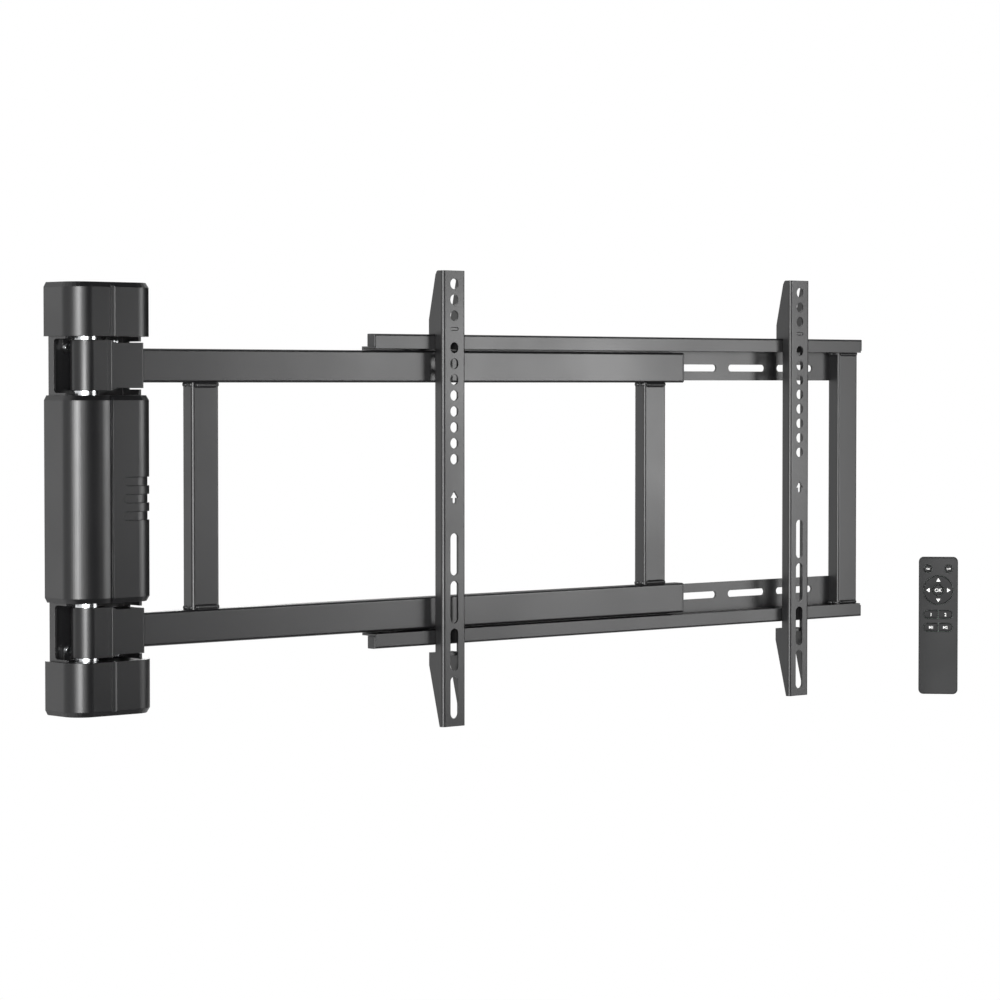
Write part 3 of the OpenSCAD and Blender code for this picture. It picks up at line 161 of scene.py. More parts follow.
class MountStudioProps(bpy.types.PropertyGroup):
    """Lamps, flags, floor and camera."""

    aim: FloatVectorProperty(name="Middle", description="Middle of the set", default=(0.45, 0.0, 0.0),
                             subtype="XYZ", unit="LENGTH")
    floor_drop: FloatProperty(name="Floor", description="Depth of the floor under the mount", default=0.8,
                              min=0.3, max=3.0, unit="LENGTH")
    lens: FloatProperty(name="Lens", description="Focal length on a 36 mm sensor", default=124.33,
                        min=10, max=400)
    camera_place: FloatVectorProperty(name="Camera", description="Where the camera stands",
                                      default=(-1.7736, -2.4765, 0.1004), subtype="XYZ", unit="LENGTH")
    camera_turn: FloatProperty(name="Camera turn", description="Turn of the view from straight at the wall",
                               default=math.radians(42.441), subtype="ANGLE")
    camera_tip: FloatProperty(name="Camera tip", description="How far the view tips down",
                              default=math.radians(1.936), subtype="ANGLE")


def linear(hex_colour):
    """sRGB hex to linear RGBA: below 0.04045 a channel is divided by 12.92, above it the 2.4 power holds."""
    c = np.array([int(hex_colour[i : i + 2], 16) for i in (0, 2, 4)]) / 255.0
    c = np.where(c <= 0.04045, c / 12.92, ((c + 0.055) / 1.055) ** 2.4)
    return (*c.tolist(), 1.0)


def add_node(tree, kind, settings=None, inputs=None, links=None):
    """Adds one shader node, sets its properties and input values, and links output sockets into it."""
    n = tree.nodes.new(kind)
    for key, value in (settings or {}).items():
        setattr(n, key, value)
    for key, value in (inputs or {}).items():
        n.inputs[key].default_value = value
    for key, socket in (links or {}).items():
        tree.links.new(socket, n.inputs[key])
    return n


def new_material(name):
    """A named node material with only its output node; it is made again if it exists."""
    old = bpy.data.materials.get(name)
    if old:
        bpy.data.materials.remove(old)
    m = bpy.data.materials.new(name)
    m.use_nodes = True
    m.node_tree.nodes.clear()
    return m, m.node_tree, m.node_tree.nodes.new("ShaderNodeOutputMaterial")


def build_skin(tree, out, hex_colour, tone, rough, shape, relief, settings):
    """The part that all finishes share. tone is (pattern, low, high, dark, light): between the pattern's
    values low and high the base colour goes from dark to light times itself. rough is (pattern, least,
    most) for the roughness, shape is the node whose normal the relief lies on, and relief is (pattern,
    strength, depth)."""
    pattern, low, high, dark, light = tone
    ramp = add_node(tree, "ShaderNodeValToRGB", links={"Fac": pattern.outputs["Fac"]})
    base = np.array(linear(hex_colour)[:3])
    for element, place, share in zip(ramp.color_ramp.elements, (low, high), (dark, light)):
        element.position, element.color = place, (*np.minimum(base * share, 1).tolist(), 1)
    pattern, least, most = rough
    sheen = add_node(tree, "ShaderNodeMapRange",
                     inputs={"From Min": NOISE_LOW, "From Max": NOISE_HIGH, "To Min": least, "To Max": most},
                     links={"Value": pattern.outputs["Fac"]})
    pattern, strength, depth = relief
    lift = add_node(tree, "ShaderNodeBump", inputs={"Strength": strength, "Distance": depth},
                    links={"Height": pattern.outputs["Fac"], "Normal": shape.outputs["Normal"]})
    skin = add_node(tree, "ShaderNodeBsdfPrincipled", inputs=settings,
                    links={"Base Color": ramp.outputs["Color"], "Roughness": sheen.outputs["Result"],
                           "Normal": lift.outputs["Normal"]})
    tree.links.new(skin.outputs["BSDF"], out.inputs["Surface"])


def powder_coat(name, hex_colour, roughness, peel, edge):
    """Black polyester powder coat on steel: a satin skin with low round waves, fine pepper and soft
    edges."""
    m, t, out = new_material(name)
    at = add_node(t, "ShaderNodeTexCoord").outputs["Object"]
    waves = add_node(t, "ShaderNodeTexNoise", inputs={"Scale": 1 / peel, "Detail": 2.0, "Roughness": 0.5},
                     links={"Vector": at})
    pepper = add_node(t, "ShaderNodeTexNoise", inputs={"Scale": 4 / peel, "Detail": 1.0},
                      links={"Vector": at})
    # The oven leaves patches about a tenth of a metre across that are a little duller or glossier
    cloud = add_node(t, "ShaderNodeTexNoise", inputs={"Scale": 9.0, "Detail": 3.0}, links={"Vector": at})
    soft = add_node(t, "ShaderNodeBevel", {"samples": EDGE_SAMPLES}, {"Radius": edge})
    build_skin(t, out, hex_colour, tone=(pepper, 0.35, 0.68, 0.86, 1.16),
               rough=(cloud, roughness - 0.03, roughness + 0.04), shape=soft, relief=(waves, 0.5, 0.04 * MM),
               settings={"IOR": 1.52, "Metallic": 0.0})
    return m


def moulded_plastic(name, hex_colour, roughness, grain, edge, ior=1.5, dish=None):
    """Injection-moulded plastic from a spark-eroded tool: an even, fine-grained satin with rounded edges. A
    dish (turn, middle, half width, rise) hollows the face: it rises by rise times the square of the share
    of the way out."""
    m, t, out = new_material(name)
    at = add_node(t, "ShaderNodeTexCoord").outputs["Object"]
    # A real moulded grain is 0.1 to 0.3 mm, so the grains given are coarser, to show in the picture
    spark = add_node(t, "ShaderNodeTexNoise", inputs={"Scale": 1 / grain, "Detail": 3.0, "Roughness": 0.6},
                     links={"Vector": at})
    # Patches of about 70 mm, where the melt filled the tool a little faster or slower
    cloud = add_node(t, "ShaderNodeTexNoise", inputs={"Scale": 14.0, "Detail": 2.0}, links={"Vector": at})
    soft = add_node(t, "ShaderNodeBevel", {"samples": EDGE_SAMPLES}, {"Radius": edge})
    if dish:
        turn, middle, half, rise = dish
        from_middle = add_node(t, "ShaderNodeVectorMath", {"operation": "SUBTRACT"}, {1: middle}, {0: at})
        across = add_node(t, "ShaderNodeVectorMath", {"operation": "DOT_PRODUCT"},
                          {1: (math.cos(turn) / half, -math.sin(turn) / half, 0)},
                          {0: from_middle.outputs["Vector"]})
        bow = add_node(t, "ShaderNodeMath", {"operation": "MULTIPLY"}, None,
                       {0: across.outputs["Value"], 1: across.outputs["Value"]})
        soft = add_node(t, "ShaderNodeBump", None, {"Strength": 1.0, "Distance": rise},
                        {"Height": bow.outputs[0], "Normal": soft.outputs["Normal"]})
    build_skin(t, out, hex_colour, tone=(spark, 0.35, 0.65, 0.88, 1.12),
               rough=(cloud, roughness - 0.03, roughness + 0.03), shape=soft, relief=(spark, 0.5, 0.04 * MM),
               settings={"IOR": ior, "Metallic": 0.0})
    return m


def turned_metal(name, hex_colour, roughness, pitch, edge):
    """Turned and ground metal: bright, with fine tool lines one above the other and a little stain."""
    m, t, out = new_material(name)
    at = add_node(t, "ShaderNodeTexCoord").outputs["Object"]
    # Real tool lines lie 0.05 to 0.2 mm apart. They are drawn further apart, to show, and run on for 17 mm
    flat = add_node(t, "ShaderNodeMapping", inputs={"Scale": (60.0, 60.0, 1 / pitch)}, links={"Vector": at})
    lines = add_node(t, "ShaderNodeTexNoise", inputs={"Scale": 1.0, "Detail": 2.0},
                     links={"Vector": flat.outputs["Vector"]})
    # Finger and oil stains of about 8 mm
    stain = add_node(t, "ShaderNodeTexNoise", inputs={"Scale": 120.0, "Detail": 3.0}, links={"Vector": at})
    soft = add_node(t, "ShaderNodeBevel", {"samples": EDGE_SAMPLES}, {"Radius": edge})
    build_skin(t, out, hex_colour, tone=(stain, 0.3, 0.7, 0.88, 1.06),
               rough=(lines, roughness * 0.8, roughness * 1.25), shape=soft, relief=(lines, 0.3, 0.02 * MM),
               settings={"Metallic": 1.0})
    return m


def finish_nodes(nodes, material):
    """Gives every material slot of the named CAD nodes one finish."""
    for name in nodes:
        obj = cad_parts[name]
        if not obj.material_slots:
            obj.data.materials.append(material)
        for s in obj.material_slots:
            s.material = material


class MOUNT_OT_steelwork(bpy.types.Operator):
    """Powder-coats the channel, hinge plates, arms, posts, rails and brackets"""

    bl_idname = "mount.steelwork"
    bl_label = "Powder-coat the steelwork"

    def execute(self, context):
        p = context.scene.mount_finish
        # Polyester powder melts into a tough satin skin: deep black, with broad, slightly wavy highlights
        coat = powder_coat("Black_powder_coat_on_steel", p.coat_colour, p.coat_roughness, p.peel_size,
                           p.edge_round)
        finish_nodes(POWDER_COATED, coat)
        return {"FINISHED"}


class MOUNT_OT_covers(bpy.types.Operator):
    """Moulds the column's caps, middle cover and knuckle covers, and the tube plugs"""

    bl_idname = "mount.covers"
    bl_label = "Mould the covers and plugs"

    def execute(self, context):
        p = context.scene.mount_finish
        # Spark-textured ABS is an even satin black. Its usual IOR is 1.54; 1.45 matches its highlights here
        abs_cover = moulded_plastic("Spark_textured_ABS_cover", p.cover_colour, p.cover_roughness,
                                    p.spark_size, p.cover_round, ior=1.45)
        finish_nodes(COLUMN_COVERS, abs_cover)
        # Polyethylene looks waxier and blacker than ABS
        plug = moulded_plastic("Polyethylene_plug", "1c1c1d", 0.48, p.spark_size, p.edge_round, ior=1.51)
        finish_nodes(PLUGS, plug)
        return {"FINISHED"}


class MOUNT_OT_drive(bpy.types.Operator):
    """Finishes the hinge and the drive: ground steel, bronze, acetal, motor paint, board and switches"""

    bl_idname = "mount.drive"
    bl_label = "Finish the hinge and drive"

    def execute(self, context):
        edge = 0.2 * MM
        # Ground steel mirrors its surroundings in streaks that run round the piece
        steel = turned_metal("Ground_bright_steel", "d6d8da", 0.22, 0.5 * MM, edge)
        finish_nodes(TURNED_STEEL, steel)
        # Sintered bronze is warm, with the dull look of its pores
        finish_nodes(("hinge_bushes",), turned_metal("Sintered_bronze", "c39a5c", 0.42, 0.8 * MM, edge))
        # Moulded acetal is a milky white with a soapy gloss
        finish_nodes(("switch_cam",), moulded_plastic("Acetal_cam", "dcdbd4", 0.35, 1.2 * MM, edge, ior=1.48))
        # Baked motor enamel: grey, glossier than the covers
        finish_nodes(("motor_can",), moulded_plastic("Painted_motor_can", "46484a", 0.35, 1.0 * MM, edge))
        # Green solder mask lies on the glass weave as a glossy lacquer
        mask = moulded_plastic("Solder_mask_on_glass_epoxy", "0d4a2b", 0.3, 0.6 * MM, edge, ior=1.55)
        finish_nodes(("control_board", "remote_board"), mask)
        # Moulded black nylon: a touch greyer and glossier than ABS
        nylon = moulded_plastic("Switch_body_nylon", "1a1a1b", 0.34, 0.8 * MM, edge, ior=1.53)
        finish_nodes(("infrared_receiver", "limit_switches", "dc_inlet_socket"), nylon)
        return {"FINISHED"}


class MOUNT_OT_remote(bpy.types.Operator):
    """Finishes the remote: textured case, silicone keys and bare cell jackets"""

    bl_idname = "mount.remote"
    bl_label = "Finish the remote"

    def execute(self, context):
        p, r = context.scene.mount_finish, context.scene.mount_remote
        dish = (r.remote_turn, r.remote_place, r.dish_wide / 2, r.dish_rise)
        # Fine-textured ABS scatters light more than the covers do, so the case is a flat dark grey
        case = moulded_plastic("Fine_textured_ABS_remote", p.remote_colour, 0.6, 0.6 * MM, 1.0 * MM,
                               dish=dish)
        finish_nodes(REMOTE_CASE, case)
        # Moulded silicone rubber is dull and blacker than the case
        rubber = moulded_plastic("Silicone_rubber_key", p.key_colour, 0.6, 0.7 * MM, 0.3 * MM, ior=1.42,
                                 dish=dish)
        finish_nodes(REMOTE_KEYS, rubber)
        # A printed film shrunk on the cells: smooth and glossy
        jacket = moulded_plastic("Bare_cell_jacket", "8a6a2c", 0.3, 0.8 * MM, 0.2 * MM)
        finish_nodes(("remote_batteries",), jacket)
        return {"FINISHED"}


def link_mesh(name, points, faces, material=None):
    """Puts a mesh of the given points and faces into the scene."""
    mesh = bpy.data.meshes.new(name)
    mesh.from_pydata(points.tolist(), [], faces.tolist())
    if material:
        mesh.materials.append(material)
    obj = bpy.data.objects.new(name, mesh)
    bpy.context.scene.collection.objects.link(obj)
    return obj


def grid_piece(name, points, material, smooth_angle):
    """A closed surface from an array of points: rows run along the first parameter, columns close on
    themselves round the second. Points that coincide at a pole are merged, and faces are turned outwards.
    Edges that turn by more than smooth_angle degrees stay sharp."""
    rows, cols = points.shape[:2]
    i, j = np.meshgrid(np.arange(rows - 1), np.arange(cols), indexing="ij")
    a, b = i * cols + j, i * cols + (j + 1) % cols
    faces = np.stack([a, b, b + cols, a + cols], -1).reshape(-1, 4)
    obj = link_mesh(name, points.reshape(-1, 3), faces, material)
    mesh = obj.data
    work = bmesh.new()
    work.from_mesh(mesh)
    bmesh.ops.remove_doubles(work, verts=work.verts, dist=SAME_POINT)
    bmesh.ops.recalc_face_normals(work, faces=work.faces)
    work.to_mesh(mesh)
    work.free()
    mesh.polygons.foreach_set("use_smooth", np.ones(len(mesh.polygons), bool))
    mesh.set_sharp_from_angle(angle=math.radians(smooth_angle))
    return obj


def weld_bead(name, middle, along, out, length, half_tall, proud, ripple, material):
    """A weld bead: its section is an ellipse, half_tall up and down and proud outwards, carried along a
    straight seam; towards its ends both shrink as a quarter circle, and outwards it waves once a ripple
    length."""
    steps, sides, wave_height = 61, 20, 0.16
    s, t = np.linspace(-1, 1, steps), np.linspace(0, 2 * np.pi, sides, endpoint=False)
    s, t = np.meshgrid(s, t, indexing="ij")
    end = 2 * half_tall / length
    swell = np.sqrt(np.clip(1 - np.clip((np.abs(s) - 1 + end) / end, 0, 1) ** 2, 0, 1))
    wave = 1 + wave_height * np.cos(np.pi * s * length / ripple)
    along, out = np.array(along, float), np.array(out, float)
    across = np.cross(along, out)
    points = (np.array(middle) + (s * length / 2)[..., None] * along
              + (half_tall * swell * np.cos(t))[..., None] * across
              + (proud * swell * wave * np.sin(t))[..., None] * out)
    return grid_piece(name, points, material, smooth_angle=180)


def knurled_piece(name, centre, profile, material, teeth, bite, knurled_from):
    """A turned piece: profile points (radius, height) carried round an upright axis. Where the radius is
    over knurled_from, it rises and falls by bite with the given number of teeth a turn."""
    profile = np.array(profile)
    n = teeth * 6
    turn = np.linspace(0, 2 * np.pi, n, endpoint=False)
    r = np.repeat(profile[:, :1], n, 1)
    r = r - np.where(r > knurled_from, bite * (0.5 + 0.5 * np.cos(teeth * turn)[None, :]), 0)
    points = np.stack([centre[0] + r * np.cos(turn), centre[1] + r * np.sin(turn),
                       centre[2] + np.repeat(profile[:, 1:], n, 1)], -1)
    return grid_piece(name, points, material, smooth_angle=32)


def pan_screw(name, centre, head_r, head_h, shank_r, shank_l, flip, material):
    """A pan-head screw: outwards across the head the height falls a little with the square of the radius
    and near the rim with its eighth power. A cross-shaped recess is pressed in where the smaller of |x| and
    |y| is under its half width and the larger under its reach. The shank is a plain cylinder below."""
    count, rim_from, fall, rim_fall = 72, 0.98, 0.12, 0.30
    slot_half, slot_reach, slot_depth = 0.15 * head_r, 0.55 * head_r, 0.55 * head_h
    side_slope, end_slope = 0.06 * head_r, 0.12 * head_r
    turn = np.linspace(0, 2 * np.pi, count, endpoint=False)
    r = np.concatenate([np.linspace(0, rim_from, 34), np.array([1.0, 1.0])]) * head_r
    r, turn = np.meshgrid(r, turn, indexing="ij")
    x, y = r * np.cos(turn), r * np.sin(turn)
    z = head_h * (1 - fall * (r / head_r) ** 2 - rim_fall * (r / head_r) ** 8)
    near, far = np.minimum(np.abs(x), np.abs(y)), np.maximum(np.abs(x), np.abs(y))
    press = np.clip((slot_half - near) / side_slope + 0.5, 0, 1)
    press = press * np.clip((slot_reach - far) / end_slope + 0.5, 0, 1)
    z = z - slot_depth * press
    z[-1] = 0
    rows = [np.stack([radius * np.cos(turn[0]), radius * np.sin(turn[0]), np.full(count, height)], -1)
            for radius, height in ((shank_r, 0.0), (shank_r, -shank_l), (0.0, -shank_l))]
    points = np.concatenate([np.stack([x, y, z], -1), np.stack(rows)])
    points = np.array(centre) + points * np.array([1, 1, flip])
    return grid_piece(name, points, material, smooth_angle=35)


def remote_point(props, across, up, depth):
    """Place of a point of the remote: its face is turned about the upright axis, so that across and depth
    turn together by that angle, and up stays up."""
    t = props.remote_turn
    x0, y0, z0 = props.remote_place
    return np.stack([x0 + across * math.cos(t) + depth * math.sin(t),
                     y0 - across * math.sin(t) + depth * math.cos(t), z0 + up], -1)


def rounded_outline(width, height, corner, steps, turn=0.0):
    """Outline of a rounded rectangle, anticlockwise: a quarter circle of so many steps about each corner's
    centre, all turned."""
    cx, cy = width / 2 - corner, height / 2 - corner
    x, y = [], []
    for k, (sx, sy) in enumerate(((1, 1), (-1, 1), (-1, -1), (1, -1))):
        a = np.linspace(0, np.pi / 2, steps) + k * np.pi / 2
        x.append(sx * cx + corner * np.cos(a))
        y.append(sy * cy + corner * np.sin(a))
    x, y = np.concatenate(x), np.concatenate(y)
    return np.stack([x * math.cos(turn) - y * math.sin(turn), x * math.sin(turn) + y * math.cos(turn)], -1)


def half_pill_outline(side, width, height, split, corner):
    """Outline of half of a bar key, anticlockwise: a half circle at the outer end, small quarter circles at
    the split."""
    r = height / 2
    a = np.linspace(-np.pi / 2, np.pi / 2, 25)
    outer = np.stack([width / 2 - r + r * np.cos(a), r * np.sin(a)], -1)
    a = np.linspace(np.pi / 2, np.pi, 7)
    inside = split / 2 + corner
    top = np.stack([inside + corner * np.cos(a), r - corner + corner * np.sin(a)], -1)
    a = a + np.pi / 2
    low = np.stack([inside + corner * np.cos(a), corner - r + corner * np.sin(a)], -1)
    half = np.concatenate([outer, top, low])
    return half if side > 0 else half[::-1] * np.array([-1, 1])


def outward(line):
    """Unit normals of a closed outline: each one is square to the chord between a point's two neighbours."""
    d = np.roll(line, -1, 0) - np.roll(line, 1, 0)
    return np.stack([d[:, 1], -d[:, 0]], -1) / np.linalg.norm(d, axis=1)[:, None]


def rubber_key(name, props, hole, outline, middle, base, face, round_r, crown, material, inner):
    """A moulded key: a flange fills the hole's outline for a third of the way up from base; above it the
    key's own outline is carried on to the face, where it draws in along its normal by a quarter circle of
    round_r, and the top swells by crown with one minus the square of the share of the way out. A ring key
    has an inner outline, and its surface runs down that one again."""
    def carried(line, height):
        return remote_point(props, middle[0] + line[:, 0], middle[1] + line[:, 1], np.full(len(line), height))

    bend = np.linspace(0, np.pi / 2, 7)
    ledge = base + (face - base) / 3
    rows = [carried(hole, base), carried(hole, ledge), carried(outline, ledge)]
    rows += [carried(outline - outward(outline) * round_r * (1 - math.cos(v)),
                     face + round_r * (1 - math.sin(v))) for v in bend]
    if inner is None:
        heart = outline.mean(0)
        top = outline - outward(outline) * round_r - heart
        rows += [carried(heart + top * k, face - crown * (1 - k * k)) for k in (0.8, 0.6, 0.4, 0.2, 0.0)]
        rows.insert(0, carried(heart + outline * 0, base))
    else:
        rows += [carried(inner + outward(inner) * round_r * (1 - math.cos(v)),
                         face + round_r * (1 - math.sin(v))) for v in bend[::-1]]
        rows += [carried(inner, base), rows[0]]
    return grid_piece(name, np.stack(rows), material, smooth_angle=50)


def key_mark(name, props, outline, middle, face, material):
    """A printed mark: a flat outline fanned from its middle, a hair in front of its key's face."""
    p = np.concatenate([outline.mean(0)[None], outline])
    points = remote_point(props, middle[0] + p[:, 0], middle[1] + p[:, 1], np.full(len(p), face))
    n = len(outline)
    i = np.arange(n)
    return link_mesh(name, points, np.stack([np.zeros(n, int), i + 1, (i + 1) % n + 1], 1), material)


def key_lettering(name, props, words, tall, middle, face, material):
    """Generic lettering on a key: the built-in font's outlines made a flat mesh, then placed on the face."""
    curve = bpy.data.curves.new(name, "FONT")
    curve.body, curve.size, curve.align_x, curve.align_y = words, 1.0, "CENTER", "CENTER"
    # A slightly bolder stroke, with few points a curve, as small print has
    curve.offset, curve.resolution_u = 0.012, 4
    loose = bpy.data.objects.new(name + "_outline", curve)
    bpy.context.scene.collection.objects.link(loose)
    mesh = bpy.data.meshes.new_from_object(loose.evaluated_get(bpy.context.evaluated_depsgraph_get()))
    bpy.data.objects.remove(loose)
    co = np.empty(len(mesh.vertices) * 3)
    mesh.vertices.foreach_get("co", co)
    co = co.reshape(-1, 3)
    span = co[:, 1].max() - co[:, 1].min()
    co = (co - (co.max(0) + co.min(0)) / 2) * (tall / span)
    placed = remote_point(props, middle[0] + co[:, 0], middle[1] + co[:, 1], np.full(len(co), face))
    mesh.vertices.foreach_set("co", placed.ravel())
    mesh.materials.clear()
    mesh.materials.append(material)
    obj = bpy.data.objects.new(name, mesh)
    bpy.context.scene.collection.objects.link(obj)
    return obj


class MOUNT_OT_welds(bpy.types.Operator):
    """Lays the weld beads that hold the posts to the arms and rails"""

    bl_idname = "mount.welds"
    bl_label = "Lay the welds"

    def execute(self, context):
        coat = bpy.data.materials["Black_powder_coat_on_steel"]
        p = context.scene.mount_finish
        # Seams run along a post's front and back for this share of its width, and stand this proud
        seam_share, seam_proud, seam_inset = 0.84, 2.1 * MM, 0.3 * MM
        # Two short lumps lie on each side, a quarter of the depth off its middle and nearer to the tube
        lump_share, lump_tall, lump_proud, lump_shift = 0.40, 2.0 * MM, 1.2 * MM, 0.5 * MM
        for node, body, tall in (("inner_post", "swing_arm", 2.5 * MM), ("outer_post", "swing_arm", 2.5 * MM),
                                 ("end_post", "rail_frame", 2.1 * MM)):
            lo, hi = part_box(node)
            mid, size = (lo + hi) / 2, hi - lo
            beads = []
            for end, z in (("upper", hi.z - (tall - seam_inset)), ("lower", lo.z + (tall - seam_inset))):
                for face, y, out in (("front", lo.y, (0, -1, 0)), ("back", hi.y, (0, 1, 0))):
                    beads.append(weld_bead(f"Weld_{node}_{end}_{face}", (mid.x, y, z), (1, 0, 0), out,
                                           size.x * seam_share, tall, seam_proud, p.weld_ripple, coat))
                for face, x, out in (("left", lo.x, (-1, 0, 0)), ("right", hi.x, (1, 0, 0))):
                    for part, share in (("front", -0.25), ("back", 0.25)):
                        middle = (x, mid.y + share * size.y, z + math.copysign(lump_shift, z))
                        beads.append(weld_bead(f"Weld_{node}_{end}_{face}_{part}", middle, (0, 1, 0), out,
                                               size.y * lump_share, lump_tall, lump_proud, p.weld_ripple,
                                               coat))
            for bead in beads:
                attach(bead, body)
        return {"FINISHED"}


class MOUNT_OT_screws(bpy.types.Operator):
    """Makes the cross-recessed knuckle screws and the knurled lock knobs"""

    bl_idname = "mount.screws"
    bl_label = "Make the screws and knobs"

    def execute(self, context):
        steel = bpy.data.materials["Ground_bright_steel"]
        lo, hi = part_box("knuckle_screws")
        mid = (lo + hi) / 2
        head_r, head_h, shank_r, shank_l = (hi.x - lo.x) / 2, 3.5 * MM, 2.0 * MM, 5.0 * MM
        for name, z, flip in (("Upper_knuckle_screw", hi.z - head_h, 1),
                              ("Lower_knuckle_screw", lo.z + head_h, -1)):
            screw = pan_screw(name, (mid.x, mid.y, z), head_r, head_h, shank_r, shank_l, flip, steel)
            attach(screw, "swing_arm")
            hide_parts("knuckle_screws")
        for side in ("left", "right"):
            lo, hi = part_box(f"{side}_lock_screw")
            mid, r, tall = (lo + hi) / 2, (hi.x - lo.x) / 2, (hi.z - lo.z)
            head, thread_r, pitch, groove, bare_end = 6.0 * MM, 2.95 * MM, 0.5 * MM, 0.22 * MM, 1.5 * MM
            thread = []
            for k in range(int((tall - head - bare_end) / pitch)):
                z = head + bare_end / 2 + k * pitch
                thread += [(thread_r - groove, z), (thread_r, z + pitch / 2)]
            profile = [(0, 0), (r - 1.3 * MM, 0), (r - 0.5 * MM, 0.4 * MM), (r, 0.9 * MM),
                       (r, head - 1.3 * MM), (r - 0.6 * MM, head - 0.7 * MM), (r - 1.2 * MM, head),
                       (thread_r, head), *thread, (thread_r - 0.5 * MM, tall), (0, tall)]
            knob = knurled_piece(f"{side.capitalize()}_lock_knob", (mid.x, mid.y, lo.z), profile, steel,
                                 teeth=30, bite=0.35 * MM, knurled_from=5.2 * MM)
            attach(knob, f"{side}_bracket")
            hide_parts(f"{side}_lock_screw")
        return {"FINISHED"}


class MOUNT_OT_keys(bpy.types.Operator):
    """Moulds the remote's rubber keys and prints their marks"""

    bl_idname = "mount.keys"
    bl_label = "Mould and mark the keys"

    def execute(self, context):
        p = context.scene.mount_remote
        rubber = bpy.data.materials["Silicone_rubber_key"]
        ink = moulded_plastic("White_key_print", "f2f2f0", 0.5, 0.6 * MM, 0.02 * MM)
        # The keys' flanges start this far behind the case's front
        half, sunk = p.remote_depth / 2, 1.9 * MM
        face, base = -half - p.key_proud, -half + sunk
        top = p.remote_tall / 2
        drops = (p.ring_drop, p.bar_drop, p.bar_drop + p.bar_pitch, p.round_drop)
        ring_z, bar_z, second_z, round_z = (top - d for d in drops)
        soft, crown, inset, ok_gap = 0.6 * MM, 0.25 * MM, 0.45 * MM, 0.3 * MM
        coarse, fine = 14, 20
        circle, small_circle = (rounded_outline(2 * r, 2 * r, r, coarse)
                                for r in (p.round_r, p.round_r - inset))
        ring, small_ring = (rounded_outline(2 * r, 2 * r, r, fine)
                            for r in (p.ring_r, p.ring_r - inset))
        hole, diamond, small_diamond = (
            rounded_outline(p.ok_side - 2 * d, p.ok_side - 2 * d, p.ok_corner - d, fine, turn=math.pi / 4)
            for d in (-ok_gap, 0, inset))
        # The hole starts an eighth of a turn later than the ring, so its points move on by half a corner
        hole = np.roll(hole, fine // 2, 0)
        keys = {
            "left_round_button": (circle, small_circle, (-p.round_x, round_z), None),
            "right_round_button": (circle, small_circle, (p.round_x, round_z), None),
            "arrow_ring": (ring, small_ring, (0, ring_z), hole),
            "ok_button": (diamond, small_diamond, (0, ring_z), None),
        }
        # Two keys of a bar are a split apart, and so are their openings
        split, corner, key_split, key_corner = 0.5 * MM, 0.9 * MM, 0.6 * MM, 0.7 * MM
        for name, side, z in (("button_one", -1, bar_z), ("button_two", 1, bar_z),
                              ("memory_one_button", -1, second_z), ("memory_two_button", 1, second_z)):
            opening = half_pill_outline(side, p.bar_wide, p.bar_tall, split, corner)
            outline = half_pill_outline(side, p.bar_wide - 2 * inset, p.bar_tall - 2 * inset, key_split,
                                        key_corner)
            keys[name] = (opening, outline, (0, z), None)
        for node, (opening, outline, middle, inner) in keys.items():
            key = rubber_key("Key_" + node, p, opening, outline, middle, base, face, soft,
                             0.0 if inner is not None else crown, rubber, inner)
            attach(key, node + "_key")
            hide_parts(node)
        w, near, far = p.arrow_wide / 2, p.arrow_near, p.arrow_far
        arrow = np.array([(-w, near), (w, near), (0, far)])
        for k, name in enumerate(("Up", "Left", "Down", "Right")):
            c, s = round(math.cos(k * math.pi / 2)), round(math.sin(k * math.pi / 2))
            turned = arrow @ np.array([[c, s], [-s, c]])
            mark = key_mark(f"{name}_arrow_mark", p, turned, (0, ring_z), face - PRINT_LIFT, ink)
            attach(mark, "arrow_ring_key")
        words = (
            ("OK_mark", "OK", 3.7, (0, ring_z), "ok_button"),
            ("One_mark", "1", 3.4, (-p.bar_wide / 4, bar_z), "button_one"),
            ("Two_mark", "2", 3.4, (p.bar_wide / 4, bar_z), "button_two"),
            ("M1_mark", "M1", 2.9, (-p.bar_wide / 4, second_z), "memory_one_button"),
            ("M2_mark", "M2", 2.9, (p.bar_wide / 4, second_z), "memory_two_button"),
            ("On_mark", "ON", 1.8, (-p.round_x, round_z), "left_round_button"),
            ("Off_mark", "OFF", 1.8, (p.round_x, round_z), "right_round_button"),
        )
        for name, text, tall, middle, node in words:
            mark = key_lettering(name, p, text, tall * MM, middle, face - crown - PRINT_LIFT, ink)
            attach(mark, node + "_key")
        return {"FINISHED"}


# Lamps: name, azimuth in degrees, distance, height over the middle, width and tallness in metres, radiance
LAMPS = (
    # Broad glow on the fronts of the arms, rails and brackets
    ("Key_softbox", -45, 1.58, 0.11, 0.6, 0.45, 6.3),
    # The same for the lower arm and rail
    ("Key_low", -55, 1.6, -0.25, 0.45, 0.3, 2.6),
    # Grey of the column's front faces
    ("Front_panel", -40, 2.4, 0.05, 0.7, 1.1, 2.2),
    # Soft fall of the corner highlights towards the front
    ("Inner_strip", 24, 2.4, 0.05, 0.5, 1.1, 3.4),
    # Upright highlights on the covers' rounded corners
    ("Corner_softbox", 46.5, 2.4, 0.05, 0.72, 1.1, 19.5),
    # Soft fall of the same highlights towards the side
    ("Corner_panel", 62, 2.4, 0.05, 0.5, 1.1, 6.5),
    # Grey of the covers' flat sides
    ("Side_fill", 135, 2.4, 0.05, 0.6, 1.1, 1.0),
    # Light for views from behind and from above
    ("Back_softbox", 200, 2.5, 0.5, 1.8, 1.2, 2.0),
    ("Top_softbox", 180, 0.6, 1.7, 2.0, 1.2, 1.5),
)
